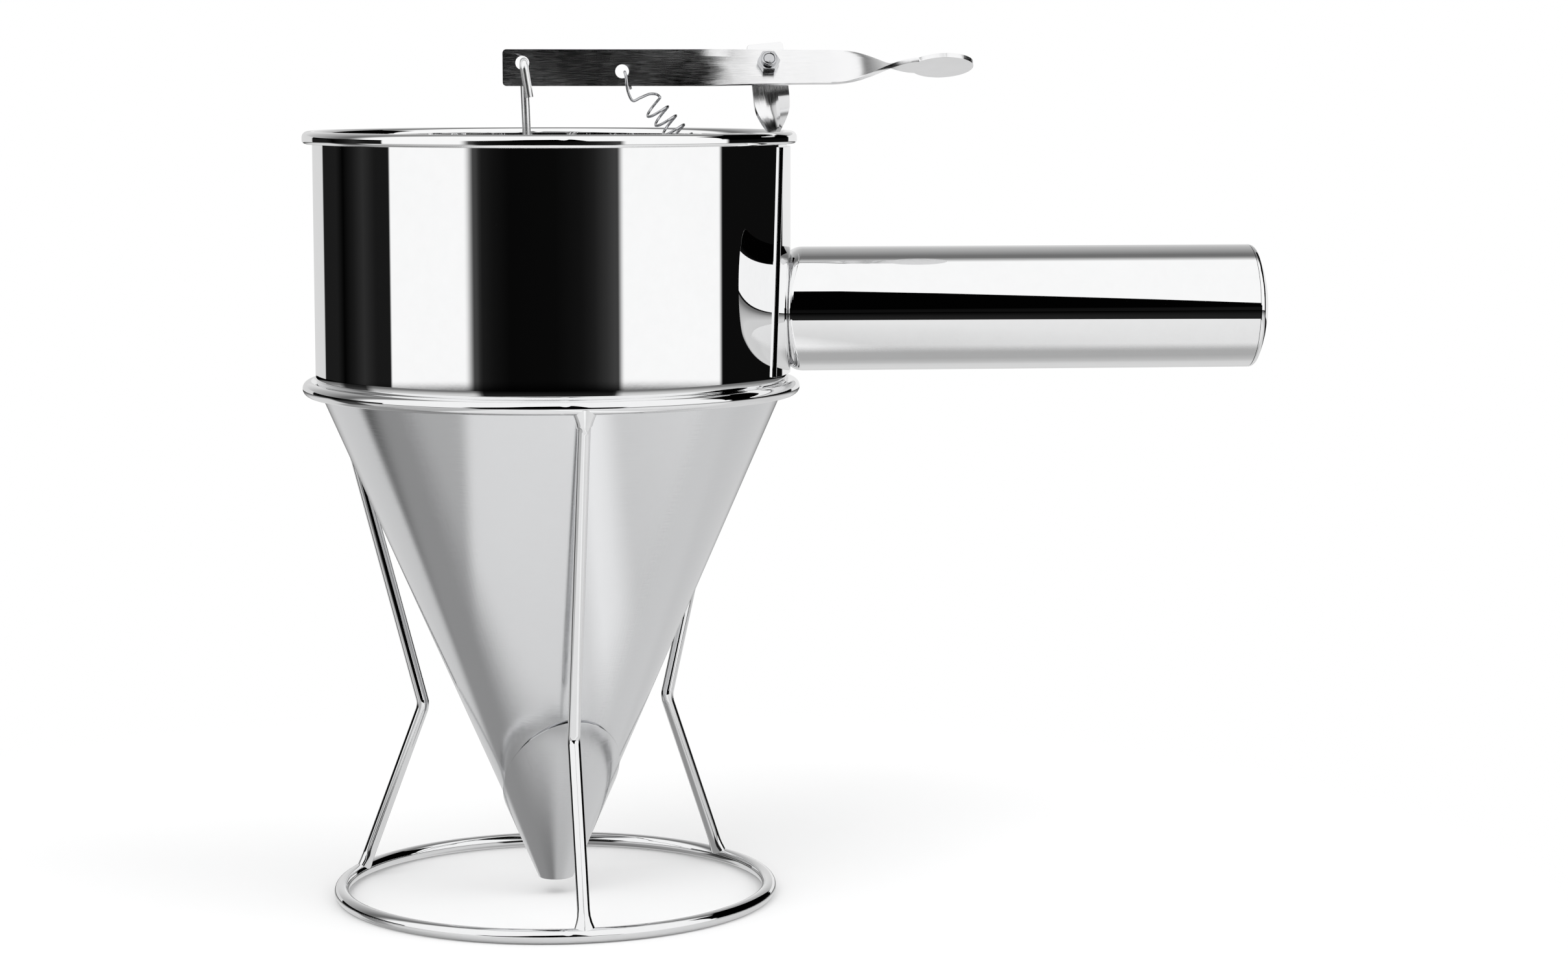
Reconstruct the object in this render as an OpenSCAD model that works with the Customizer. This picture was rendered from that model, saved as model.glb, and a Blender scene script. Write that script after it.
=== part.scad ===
// Batter dispensing funnel that sits in a wire stand. A thumb lever over the handle
// lifts a rod and the plug that closes the outlet, and a spring closes it again.
// Millimetres. The origin is the centre of the base ring on the table, +Z is up, and
// the handle points along +X.

/* [Bowl and cone] */
// Outside diameter of the bowl
bowl_d = 130; // [120:1:150]
// Height of the straight wall, from the corner with the cone to the rim
bowl_h = 67; // [55:1:90]
// Height of the cone, from the outlet to the corner with the bowl
cone_h = 140.4; // [120:0.1:170]
// Thickness of the sheet that the bowl and the cone are made of
sheet_t = 0.6; // [0.4:0.1:1]
// Radius of the rounded corner between the bowl and the cone
shoulder_r = 12; // [8:1:16]
// Diameter of the bead that is rolled outwards round the rim
bead_d = 3.4; // [2.8:0.1:4.5]
// Gap between two sheets that lap each other
lap_gap = 0.05; // [0.02:0.01:0.1]

/* [Nozzle] */
// Bore of the outlet
outlet_d = 8; // [6:0.5:11]
// Thickness of the nozzle's sheet
nozzle_t = 0.6; // [0.4:0.1:1]
// Height of the nozzle on the funnel's axis, up to its slanted top edge
nozzle_h = 22.7; // [20:0.1:30]
// Slope of the top edge, in degrees
nozzle_slope = 45; // [30:1:50]
// Turn of the top edge's high side from the front towards the handle, in degrees
nozzle_turn = 10; // [-30:1:30]
// Lap of the cone in the nozzle on the low side
nozzle_lap = 2.4; // [1.5:0.1:4]
// Height of the outlet above the table
outlet_lift = 4.5; // [2:0.5:20]

/* [Handle] */
// Diameter of the handle tube
handle_d = 34.5; // [28:0.5:38]
// Wall of the handle tube
handle_t = 1; // [0.6:0.1:2]
// Length of the tube, from the saddle plate to the seam of its end cap
handle_l = 130; // [100:1:160]
// Distance of the handle's axis below the rim
handle_drop = 47.7; // [40:0.1:48]
// Radius of the shoulder at the tube's root
root_r = 1.5; // [1:0.1:3]
// Space for the weld between the saddle plate and the shoulder
weld_w = 0.6; // [0.4:0.1:1]
// Height of the end cap's dome
cap_h = 4; // [2:0.5:8]
// Width of the end cap's straight edge
cap_edge = 1; // [0.6:0.1:2]
// Length of the end cap's skirt in the tube
cap_skirt = 6; // [3:0.5:10]
// Thickness of the saddle plate
saddle_t = 1; // [0.6:0.1:1.5]
// Width of the saddle plate below the rim
saddle_top_w = 45; // [38:1:56]
// Width of the saddle plate at its foot
saddle_foot_w = 57; // [40:1:64]
// Gap that the saddle plate leaves below the rim's bead
saddle_gap = 0.8; // [0.4:0.1:3]

/* [Lever and bracket] */
// Width of the flat strip that the lever and the bracket are made of
strip_w = 10; // [8:0.5:14]
// Thickness of the strip
strip_t = 1.2; // [0.8:0.1:2]
// Radius of the strip's corners
strip_r = 1; // [0.5:0.1:2]
// Height of the lever's centre line above the rim
lever_rise = 18.9; // [16:0.1:30]
// Distance of the pivot inside the bowl's outer wall
pivot_inset = 5.1; // [4.5:0.1:7]
// Height of the pivot hole above the lever's centre line
pivot_up = 1.5; // [-1:0.1:2]
// Length of the flat stretch of the lever behind the pivot
lever_back = 17; // [12:0.5:24]
// Length of the twisted stretch of the lever
twist_l = 24.4; // [18:0.1:32]
// Twist of the thumb pad against the lever, in degrees
twist_deg = 108; // [80:1:120]
// Length of the thumb pad
pad_l = 17.2; // [14:0.1:26]
// Width of the thumb pad
pad_w = 18; // [14:0.5:24]
// Distance of the rod's hole from the funnel's axis, away from the handle
rod_hole_x = 7.6; // [0:0.1:12]
// Height of the rod's hole above the lever's centre line
rod_hole_up = 1.3; // [-1:0.1:2]
// Length of the lever beyond the rod's hole
lever_nose = 5.4; // [4:0.1:10]
// Diameter of the rod's hole and of the spring's hole
hook_hole_d = 3.8; // [3.6:0.1:4.4]
// Distance between the rod's hole and the spring's hole
spring_hole_x = 27.3; // [20:0.1:34]
// Depth of the spring's hole below the lever's centre line
spring_hole_down = 1; // [-1:0.1:2]
// Length of the bracket above the pivot
bracket_top = 5.2; // [4.5:0.1:8]
// Lean of the bracket's upper part towards the handle, in degrees
bracket_lean = 5.6; // [4:0.1:6]
// Length of the bracket between the pivot and its twist
bracket_neck = 8.4; // [8:0.1:12]
// Length of the bracket's twist
bracket_twist_l = 15.5; // [12:0.1:20]
// Length of the bracket's foot, which is welded to the bowl's wall
bracket_foot = 12; // [8:0.5:16]
// Length of the tab that the spring hooks into
tab_l = 9.5; // [8:0.1:14]

/* [Pivot hardware] */
// Diameter of the pivot bolt
bolt_d = 3; // [2.5:0.5:4]
// Width across the flats of the bolt's head and of the nut
nut_af = 5.5; // [5:0.1:7]
// Height of the bolt's head
head_h = 2; // [1.5:0.1:3]
// Height of the nut's six flats
nut_h = 2.6; // [2:0.1:4]
// Height of the nut's round collar
collar_h = 1.2; // [0.6:0.1:2]
// Diameter of the nut's round collar
collar_d = 4.4; // [4.2:0.1:5]
// Thickness of the washer between the lever and the bracket
washer_t = 0.8; // [0.5:0.1:1.5]
// Diameter of the washer
washer_d = 7; // [6:0.5:9]
// Radial clearance of the bolt in its holes
pivot_clear = 0.05; // [0.02:0.01:0.1]
// Side clearance between the lever and what it turns against
side_clear = 0.08; // [0.04:0.01:0.15]

/* [Rod and plug] */
// Diameter of the rod's wire
rod_d = 2.3; // [2:0.1:2.4]
// Offset of the rod in its hole towards the handle when the outlet is closed
rod_seat_x = 0.5; // [0:0.1:0.5]
// Offset of the rod in its hole upwards when the outlet is closed
rod_seat_z = 0.3; // [0:0.1:0.3]
// Length of the hook in front of the lever
hook_l = 7.6; // [5:0.1:12]
// Length of the rod's straight foot above the plug
rod_foot = 12; // [6:1:30]
// Height of the plug's lower face above the outlet
plug_lift = 5; // [4.5:0.1:7]
// Height of the plug's tapered seat
seat_h = 3.6; // [2:0.1:4]
// Gap between the closed plug and the nozzle
seat_gap = 0.1; // [0.05:0.01:0.2]
// Height of the plug's sloping top
plug_cone_h = 3; // [2:0.1:6]
// Height of the plug's hub
hub_h = 2.4; // [1:0.1:4]
// Wall of the plug's hub
hub_t = 1; // [0.8:0.1:2]

/* [Spring] */
// Diameter of the spring's wire
spring_wire_d = 0.75; // [0.6:0.05:0.9]
// Mean diameter of the spring's coil
coil_d = 6; // [4.5:0.1:7]
// Number of turns of the coil
coil_turns = 16; // [10:1:20]
// Distance of the coil's upper end from the spring's hole, towards the handle
coil_out = 8.2; // [7.5:0.1:10]
// Depth of the coil's upper end below the spring's hole
coil_down = 9.1; // [8:0.1:12]
// Height of the coil's lower end above the bracket's tab
lower_hook_h = 5.5; // [5:0.1:8]
// Diameter of the hole in the bracket's tab
tab_hole_d = 2.5; // [2:0.1:3]

/* [Stand] */
// Wire diameter of the two rings
ring_wire_d = 4; // [3:0.5:6]
// Wire diameter of the legs
leg_wire_d = 3.5; // [2.5:0.5:5]
// Distance of the top ring's centre line outside the bowl's wall
ring_reach = 1.6; // [1.4:0.1:2]
// Gap between the seated funnel and the top ring
ring_gap = 0.2; // [0.1:0.05:0.3]
// Diameter of the base ring, on its centre line
base_d = 120; // [100:1:150]
// Height of the legs' waist above the table
waist_h = 51.2; // [35:0.1:80]
// Distance between the cone and the legs' centre line at the waist
waist_gap = 16; // [10:0.5:24]
// Turn of the front leg towards the handle, in degrees
leg_turn = 5; // [-30:1:30]
// Length of the weld at each end of a leg
leg_weld_l = 6; // [4:0.5:9]
// Width of the weld over the wire of the leg, on each side
leg_weld_w = 1.3; // [0.5:0.1:1.5]
// Gap between the cone and the legs' welds
weld_clear = 0.4; // [0.2:0.05:1]

/* [Hidden] */
$fn = 96;

// Larger than any cut needs to reach
far = 400;
// Overlap where two shapes of one piece join
joint = 0.2;

// Funnel: the cone's outer face runs from the outlet to the corner with the bowl
bowl_r = bowl_d / 2;
corner_z = outlet_lift + cone_h;
rim_z = corner_z + bowl_h;
mouth_r = outlet_d / 2 - lap_gap;
cone_tan = (bowl_r - mouth_r) / cone_h;
cone_deg = atan(cone_tan);
function cone_r(z) = mouth_r + cone_tan * (z - outlet_lift);
// Width of a sheet of thickness t, measured level through the cone's wall
function level(t) = t / cos(cone_deg);

shoulder_z = corner_z + shoulder_r * tan(cone_deg / 2);
shoulder_x = bowl_r - shoulder_r;
bead_x = bowl_r - sheet_t + bead_d / 2;
// Sector of the bead where its free edge stays open
bead_open = [184, 250];

// Nozzle: the slanted edge's lowest point, on the side away from its high side
nozzle_low = (nozzle_h - tan(nozzle_slope) * mouth_r) / (1 + tan(nozzle_slope) * cone_tan);
cone_end_z = outlet_lift + nozzle_low - nozzle_lap;

// Handle
handle_r = handle_d / 2;
handle_z = rim_z - handle_drop;
saddle_r = bowl_r + lap_gap + saddle_t;
neck_r = handle_r - root_r;
root_x = saddle_r + weld_w;
handle_end = saddle_r + handle_l;
saddle_top_z = rim_z - bead_d / 2 - saddle_gap;
saddle_foot_z = shoulder_z + lap_gap;

// Lever: its flat stretch lies in front of the bracket, which is on the funnel's axis
lever_z = rim_z + lever_rise;
pivot_x = bowl_r - pivot_inset;
pivot_z = lever_z + pivot_up;
bracket_face = -strip_t / 2;
lever_face = bracket_face - side_clear / 2 - washer_t - side_clear / 2;
lever_y = lever_face - strip_t / 2;
nut_face = lever_y - strip_t / 2 - side_clear;
rod_x = -rod_hole_x;
rod_z = lever_z + rod_hole_up;
spring_x = rod_x + spring_hole_x;
spring_z = lever_z - spring_hole_down;
lever_start = rod_x - lever_nose;
twist_start = pivot_x + lever_back;
// The pad's outline is an ellipse, from where it is as wide as the strip to its blunt tip
pad_a = pad_l / 2;
pad_from = 180 - asin(strip_w / pad_w);
pad_tip = 2;
// Steps of the pad's outline and of a twisted stretch
pad_steps = 24;
twist_steps = 72;

// Bracket: a straight leaning strip, then an upright foot on the bowl's inner wall
bracket_turn_z = bracket_neck + bracket_twist_l;
foot_x = bowl_r - sheet_t - lap_gap - strip_t / 2 - pow(strip_w, 2) / (8 * bowl_r);
foot_s = (foot_x - pivot_x) / sin(bracket_lean);
foot_z = pivot_z - foot_s * cos(bracket_lean);
tab_z = foot_z - bracket_foot;
// Line of the bracket below its twist, in the XZ plane
bracket_line = [
    [pivot_x + bracket_turn_z * sin(bracket_lean), pivot_z - bracket_turn_z * cos(bracket_lean)],
    [foot_x, foot_z], [foot_x, tab_z], [foot_x - tab_l, tab_z]
];
tab_hole_x = foot_x - strip_t / 2 - tab_l / 2 - 0.6;

// Rod: a straight foot in the plug, a long leaning stretch, and a hook over the lever
rod_r = rod_d / 2;
hook_r = -lever_y;
hook_x = rod_x + rod_seat_x;
hook_z = rod_z + rod_seat_z - hook_r;
plug_z = outlet_lift + plug_lift;
plug_top_z = plug_z + seat_h + plug_cone_h + hub_h;
rod_bend_z = plug_top_z + rod_foot;
// Swelling of the rod where it is bent
rod_swell = 0.02;
// Radius of the nozzle's inner face, less the seat's gap
function seat_r(z) = cone_r(z) + lap_gap - level(seat_gap);

// Spring: the coil's axis runs from below the lever to above the bracket's tab
coil_r = coil_d / 2;
coil_from = [spring_x + coil_out, lever_y, spring_z - coil_down];
coil_to = [tab_hole_x - 1.2, 0, tab_z + lower_hook_h];
coil_dir = (coil_to - coil_from) / norm(coil_to - coil_from);
coil_side = [-coil_dir[2], 0, coil_dir[0]] / norm([coil_dir[2], coil_dir[0]]);
coil_front = cross(coil_side, coil_dir);
coil_steps = 12;

// Stand: the top ring touches the rounded corner of the funnel
ring_r = ring_wire_d / 2;
leg_r = leg_wire_d / 2;
top_ring_r = bowl_r + ring_reach;
seat_reach = shoulder_r + ring_r + ring_gap;
top_ring_z = shoulder_z - sqrt(pow(seat_reach, 2) - pow(top_ring_r - shoulder_x, 2));
base_r = base_d / 2;
waist_r = cone_r(waist_h) + waist_gap;
// Angle between the legs
leg_step = 120;
front_leg_deg = leg_turn - 90;

steel_mirror = [0.86, 0.87, 0.88];
steel_satin = [0.72, 0.73, 0.74];
steel_brushed = [0.62, 0.62, 0.64];
steel_wire = [0.8, 0.81, 0.82];

// Flat ring between two radii
module band(outer, inner) {
    difference() {
        circle(r = outer);
        circle(r = inner);
    }
}

// Wedge from the origin, between two directions less than 180 degrees apart
module wedge(from, to) {
    middle = (from + to) / 2;
    polygon([
        [0, 0], far * [cos(from), sin(from)], far * [cos(middle), sin(middle)],
        far * [cos(to), sin(to)]
    ]);
}

// Ring of round wire
module wire_ring(ring, wire) {
    rotate_extrude()
        translate([ring, 0]) circle(r = wire);
}

// Straight round bar between two points, wider at its start if r_from says so
module bar(from, to, r, r_from) {
    way = to - from;
    translate(from)
        rotate([0, acos(way[2] / norm(way)), atan2(way[1], way[0])])
            cylinder(h = norm(way), r1 = is_undef(r_from) ? r : r_from, r2 = r);
}

// Turns a solid made along +Z so that it runs along +X at the handle's height
module along_handle() {
    translate([0, 0, handle_z]) rotate([0, 90, 0]) children();
}

// Stands a flat outline in the XZ plane, centred on y, with thickness t
module upright(y, t) {
    translate([0, y, 0]) rotate([90, 0, 0])
        linear_extrude(height = t, center = true) children();
}

// Solid along the pivot's axis, from y towards the front
module on_pivot(y) {
    translate([pivot_x, y, pivot_z]) rotate([90, 0, 0]) children();
}

// Flat bar from x1 to x2 that is centred on height 0, with round corners at x1
module strip_outline(x1, x2, w, r) {
    translate([x1 + r, -w / 2]) square([x2 - x1 - r, w]);
    translate([x1, r - w / 2]) square([r + joint, w - 2 * r]);
    for (side = [-1, 1])
        translate([x1 + r, side * (w / 2 - r)]) circle(r = r);
}

// Six-sided prism along +Z
module hex_prism(af, h) {
    linear_extrude(height = h)
        polygon([for (i = [0:5]) af / sqrt(3) * [cos(60 * i + 90), sin(60 * i + 90)]]);
}

// ---- stand ----

module stand_top_ring() {
    color(steel_wire) translate([0, 0, top_ring_z]) wire_ring(top_ring_r, ring_r);
}

module stand_base_ring() {
    color(steel_wire) translate([0, 0, ring_r]) wire_ring(base_r, ring_r);
}

// One bent leg, widened by its welds and cut to fit against both rings
module leg(deg) {
    top = [top_ring_r, 0, top_ring_z];
    waist = [waist_r, 0, waist_h];
    foot = [base_r, 0, ring_r];
    weld_top = top + (leg_weld_l + ring_r) * (waist - top) / norm(waist - top);
    weld_foot = foot + (leg_weld_l + ring_r) * (waist - foot) / norm(waist - foot);
    color(steel_wire) rotate([0, 0, deg]) difference() {
        union() {
            bar(top, waist, leg_r);
            bar(waist, foot, leg_r);
            translate(waist) sphere(r = leg_r);
            bar(top, weld_top, leg_r, leg_r + leg_weld_w);
            bar(foot, weld_foot, leg_r, leg_r + leg_weld_w);
        }
        translate([0, 0, top_ring_z]) wire_ring(top_ring_r, ring_r + lap_gap);
        translate([0, 0, top_ring_z]) ring_core(top_ring_r);
        translate([0, 0, ring_r]) wire_ring(base_r, ring_r + lap_gap);
        translate([0, 0, ring_r]) mirror([0, 0, 1]) ring_core(base_r);
        funnel_room();
    }
}

// Room for the cone, up to the top of the top ring
module funnel_room() {
    top_z = top_ring_z + ring_r;
    translate([0, 0, outlet_lift]) cylinder(
        h = top_z - outlet_lift,
        r1 = cone_r(outlet_lift) + level(weld_clear),
        r2 = cone_r(top_z) + level(weld_clear)
    );
}

// Room on the far side of a ring, where no leg may reach
module ring_core(ring) {
    rotate_extrude()
        translate([ring - ring_wire_d, 0]) square([2 * ring_wire_d, 2 * ring_wire_d]);
}

module stand_leg_front() {
    leg(front_leg_deg);
}

module stand_leg_right() {
    leg(front_leg_deg + leg_step);
}

module stand_leg_left() {
    leg(front_leg_deg - leg_step);
}

// ---- funnel ----

module bowl_shell() {
    color(steel_mirror) rotate_extrude() {
        translate([bowl_r - sheet_t, shoulder_z]) square([sheet_t, rim_z - shoulder_z]);
        translate([shoulder_x, shoulder_z]) intersection() {
            band(shoulder_r, shoulder_r - sheet_t);
            wedge(-cone_deg, 0);
        }
        translate([bead_x, rim_z]) difference() {
            band(bead_d / 2, bead_d / 2 - sheet_t);
            wedge(bead_open[0], bead_open[1]);
        }
    }
}

// The cone's wall between two heights, from its outer face inwards
module cone_wall(z_low, z_high, t, proud) {
    polygon([
        [cone_r(z_low) + level(proud), z_low], [cone_r(z_high) + level(proud), z_high],
        [cone_r(z_high) + level(proud - t), z_high], [cone_r(z_low) + level(proud - t), z_low]
    ]);
}

module cone_shell() {
    color(steel_satin) rotate_extrude() difference() {
        cone_wall(cone_end_z, corner_z, sheet_t, 0);
        translate([shoulder_x, shoulder_z]) wedge(-cone_deg, 90);
    }
}

// Everything above the nozzle's slanted top edge
module above_slant() {
    translate([0, 0, outlet_lift + nozzle_h])
        rotate([0, 0, nozzle_turn]) rotate([-nozzle_slope, 0, 0])
            translate([-far / 2, -far / 2, 0]) cube([far, far, far]);
}

module nozzle_tip() {
    color(steel_satin) difference() {
        rotate_extrude()
            cone_wall(outlet_lift, corner_z, nozzle_t, nozzle_t + lap_gap);
        above_slant();
    }
}

// ---- handle ----

module handle_saddle() {
    foot = saddle_foot_w / 2;
    top = saddle_top_w / 2;
    color(steel_mirror) intersection() {
        rotate_extrude()
            translate([bowl_r + lap_gap, saddle_foot_z])
                square([saddle_t, saddle_top_z - saddle_foot_z]);
        rotate([90, 0, 90]) linear_extrude(height = far)
            polygon([
                [-foot, saddle_foot_z], [foot, saddle_foot_z], [top, saddle_top_z],
                [-top, saddle_top_z]
            ]);
    }
}

module handle_tube() {
    color(steel_mirror) difference() {
        along_handle() rotate_extrude() {
            translate([handle_r - handle_t, root_x + root_r])
                square([handle_t, handle_end - root_x - root_r]);
            translate([neck_r, root_x + root_r]) intersection() {
                circle(r = root_r);
                translate([-joint, -root_r]) square([root_r + joint, root_r]);
            }
            translate([neck_r - handle_t, bowl_r / 2])
                square([handle_t, root_x + root_r - bowl_r / 2]);
        }
        cylinder(h = rim_z, r = saddle_r + lap_gap);
    }
}

// Weld round the tube's neck, which follows the saddle plate
module handle_weld() {
    color(steel_satin) intersection() {
        difference() {
            along_handle() cylinder(h = far, r = neck_r + weld_w + lap_gap);
            along_handle() cylinder(h = far, r = neck_r + lap_gap);
        }
        difference() {
            cylinder(h = rim_z, r = root_x - lap_gap);
            cylinder(h = rim_z, r = saddle_r + lap_gap);
        }
    }
}

module handle_end_cap() {
    inner_r = handle_r - handle_t - lap_gap;
    edge_z = handle_end + cap_edge;
    dome_r = (pow(handle_r, 2) + pow(cap_h, 2)) / (2 * cap_h);
    color(steel_mirror) along_handle() rotate_extrude() {
        translate([inner_r - handle_t, handle_end - cap_skirt])
            square([handle_t, cap_skirt + cap_edge]);
        translate([inner_r - handle_t, handle_end + lap_gap])
            square([handle_r - inner_r + handle_t, cap_edge - lap_gap]);
        intersection() {
            translate([0, edge_z + cap_h - dome_r]) band(dome_r, dome_r - handle_t);
            translate([0, edge_z - joint]) square([handle_r - joint, cap_h + joint]);
        }
        intersection() {
            translate([0, edge_z + cap_h - dome_r]) circle(r = dome_r);
            translate([inner_r - handle_t, edge_z - joint])
                square([handle_r - inner_r + handle_t, cap_h]);
        }
    }
}

// ---- bracket and pivot ----

// Shapes made along the bracket's leaning axis: +Z up the strip, 0 at the pivot
module on_lean() {
    translate([pivot_x, 0, pivot_z]) rotate([0, -bracket_lean, 0]) children();
}

// Way of a flat line from its point i to the next, or at its last point from the one before
function heading(line, i) = unit(line[min(i + 1, len(line) - 1)] - line[min(i, len(line) - 2)]);

// Corner of a flat strip of thickness t at point i of its line, on one side of it
function mitre(line, i, t) =
    let (a = heading(line, max(i - 1, 0)), b = heading(line, i), n = unit(a + b))
        line[i] + t / 2 / (n * a) * [-n[1], n[0]];

// Flat strip of thickness t along a line, with mitred bends
module bent_strip(line, t) {
    count = len(line);
    polygon(concat(
        [for (i = [0:count - 1]) mitre(line, i, t)],
        [for (i = [count - 1:-1:0]) mitre(line, i, -t)]
    ));
}

module pivot_bracket() {
    color(steel_brushed) difference() {
        union() {
            on_lean() rotate([0, 90, 0])
                upright(0, strip_t)
                    strip_outline(-bracket_top, bracket_neck, strip_w, strip_r);
            on_lean() translate([0, 0, -bracket_turn_z])
                linear_extrude(
                    height = bracket_twist_l, twist = -90, slices = twist_steps / 3, segments = 16
                )
                    square([strip_t, strip_w], center = true);
            upright(0, strip_w) bent_strip(bracket_line, strip_t);
        }
        on_pivot(far / 2) cylinder(h = far, r = bolt_d / 2 + pivot_clear);
        translate([tab_hole_x, 0, tab_z - strip_w]) cylinder(h = 2 * strip_w, d = tab_hole_d);
    }
}

module pivot_bolt() {
    grip = strip_t / 2 - nut_face + nut_h + collar_h;
    color(steel_satin) {
        on_pivot(strip_t / 2 + lap_gap) cylinder(h = grip, d = bolt_d);
        on_pivot(strip_t / 2 + lap_gap + head_h) hex_prism(nut_af, head_h);
    }
}

module pivot_washer() {
    color(steel_satin) on_pivot(bracket_face - side_clear / 2) difference() {
        cylinder(h = washer_t, d = washer_d);
        translate([0, 0, -washer_t]) cylinder(h = 3 * washer_t, r = bolt_d / 2 + pivot_clear);
    }
}

module pivot_nut() {
    color(steel_satin) on_pivot(nut_face) difference() {
        union() {
            hex_prism(nut_af, nut_h);
            cylinder(h = nut_h + collar_h, d = collar_d);
        }
        translate([0, 0, -nut_h]) cylinder(h = 4 * nut_h, r = bolt_d / 2 + pivot_clear);
    }
}

// ---- lever ----

// Sections of the lever's twist and its pad: distance from the twist's start, half of the
// width, and turn in degrees
blade_sections = concat(
    [
        for (i = [0:twist_steps])
            [twist_l * i / twist_steps, strip_w / 2, -twist_deg * i / twist_steps]
    ],
    [
        for (i = [1:pad_steps])
            let (deg = pad_from + (pad_tip - pad_from) * i / pad_steps)
                [twist_l + pad_a * (cos(deg) - cos(pad_from)), pad_w / 2 * sin(deg), -twist_deg]
    ]
);

// Corners of one section of the blade
function blade_corners(z, w, deg) = [
    for (corner = [[-1, -1], [1, -1], [1, 1], [-1, 1]])
        let (x = corner[0] * strip_t / 2, y = corner[1] * w)
            [x * cos(deg) - y * sin(deg), x * sin(deg) + y * cos(deg), z]
];

// Twisted blade along +Z that starts with its width along Y, as one closed mesh
module blade(sections) {
    points = [for (s = sections) each blade_corners(s[0], s[1], s[2])];
    end = len(points) - 4;
    polyhedron(points, concat(
        [[0, 1, 2, 3]],
        [
            for (a = [0:4:end - 4]) for (k = [0:3])
                let (next = (k + 1) % 4) [a + k, a + 4 + k, a + 4 + next, a + next]
        ],
        [[end + 3, end + 2, end + 1, end]]
    ));
}

module trigger_lever() {
    color(steel_brushed) {
        translate([0, 0, lever_z]) upright(lever_y, strip_t) difference() {
            strip_outline(lever_start, twist_start, strip_w, strip_r);
            translate([rod_x, rod_hole_up]) circle(d = hook_hole_d);
            translate([spring_x, -spring_hole_down]) circle(d = hook_hole_d);
            translate([pivot_x, pivot_up]) circle(r = bolt_d / 2 + pivot_clear);
        }
        translate([twist_start, lever_y, lever_z]) rotate([90, 0, 90])
            blade(blade_sections);
    }
}

// ---- rod and plug ----

// Straight rod of length l along +Z, with the hook at its upper end
module hooked_rod(l) {
    cylinder(h = l, r = rod_r);
    translate([0, -hook_r, l]) rotate([0, -90, 0]) rotate([0, 0, -90])
        rotate_extrude(angle = 180) translate([hook_r, 0]) circle(r = rod_r);
    translate([0, -2 * hook_r, l - hook_l]) cylinder(h = hook_l, r = rod_r);
}

module plunger_rod() {
    foot_z = plug_z + lap_gap + hub_t;
    lean_h = hook_z - rod_bend_z;
    color(steel_wire) {
        translate([0, 0, foot_z]) cylinder(h = rod_bend_z - foot_z, r = rod_r);
        translate([0, 0, rod_bend_z]) {
            sphere(r = rod_r + rod_swell);
            rotate([0, atan(hook_x / lean_h), 0]) hooked_rod(norm([hook_x, lean_h]));
        }
    }
}

module valve_plug() {
    bore_r = rod_r + lap_gap;
    hub_r = bore_r + hub_t;
    seat_z = plug_z + seat_h;
    hub_z = seat_z + plug_cone_h;
    color(steel_mirror) difference() {
        rotate_extrude() polygon([
            [0, plug_z], [seat_r(plug_z), plug_z], [seat_r(seat_z), seat_z],
            [hub_r, hub_z], [hub_r, hub_z + hub_h], [0, hub_z + hub_h]
        ]);
        translate([0, 0, plug_z + hub_t]) cylinder(h = far, r = bore_r);
    }
}

// ---- spring ----

function unit(v) = v / norm(v);
function along(path, i) =
    unit(path[min(i + 1, len(path) - 1)] - path[max(i - 1, 0)]);
function square_to(v, way) = unit(v - (v * way) * way);

// Point at share t of the smooth curve through b and c, with a and d beside them
function curve_point(a, b, c, d, t) =
    0.5 * (2 * b + t * (c - a) + t * t * (2 * a - 5 * b + 4 * c - d)
        + t * t * t * (3 * b - a - 3 * c + d));

// Smooth curve through the listed points, with steps points between each pair
function smooth_curve(p, steps) = [
    for (i = [1:len(p) - 3]) for (k = [0:steps - 1])
        curve_point(p[i - 1], p[i], p[i + 1], p[i + 2], k / steps)
];

// Coil of the spring, from its first point at the top to its last one above the tab
function coil_point(turn) =
    coil_from + (coil_to - coil_from) * turn / coil_turns
    + coil_r * (cos(360 * turn) * coil_side + sin(360 * turn) * coil_front);

coil = [for (i = [0:coil_turns * coil_steps]) coil_point(i / coil_steps)];

// Upper hook: from its tail behind the lever, through the hole, down to the coil
hook_back = lever_face + 0.65;
hook_front = lever_face - strip_t - 0.6;
upper_hook = [
    [spring_x + 2.7, hook_back, spring_z - 6],
    [spring_x + 2.5, hook_back, spring_z - 4.9],
    [spring_x + 1.5, hook_back, spring_z - 1.9],
    [spring_x + 0.8, lever_y + 0.6, spring_z - 0.3],
    [spring_x + 0.8, lever_y - 0.7, spring_z - 0.4],
    [spring_x + 1.1, hook_front, spring_z - 2.3],
    [spring_x + 1.5, hook_front, spring_z - 5.4],
    [spring_x + 2.8, hook_front, spring_z - 8],
    [spring_x + 5, lever_y - 0.3, spring_z - 7.2],
    [spring_x + 7.6, lever_y + 1.4, spring_z - 6.2],
    [spring_x + 9.6, lever_y + 1.6, spring_z - 6.3],
    coil_point(0), coil_point(0.06)
];

// Lower hook: from the coil down through the tab's hole and up round its free edge
tab_edge = foot_x - tab_l;
lower_hook = [
    coil_point(coil_turns - 0.06), coil_point(coil_turns),
    [tab_hole_x + 0.2, -1.2, tab_z + 4.4],
    [tab_hole_x + 0.1, 0, tab_z + 2],
    [tab_hole_x, 0, tab_z - 1],
    [tab_hole_x - 1.4, 0, tab_z - 2.3],
    [tab_edge, 0, tab_z - 2],
    [tab_edge - 1.1, 0, tab_z],
    [tab_edge - 0.8, 0, tab_z + 1.7],
    [tab_edge - 0.4, 0, tab_z + 2.6]
];

spring_path = concat(smooth_curve(upper_hook, 3), coil, smooth_curve(lower_hook, 3));

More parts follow.
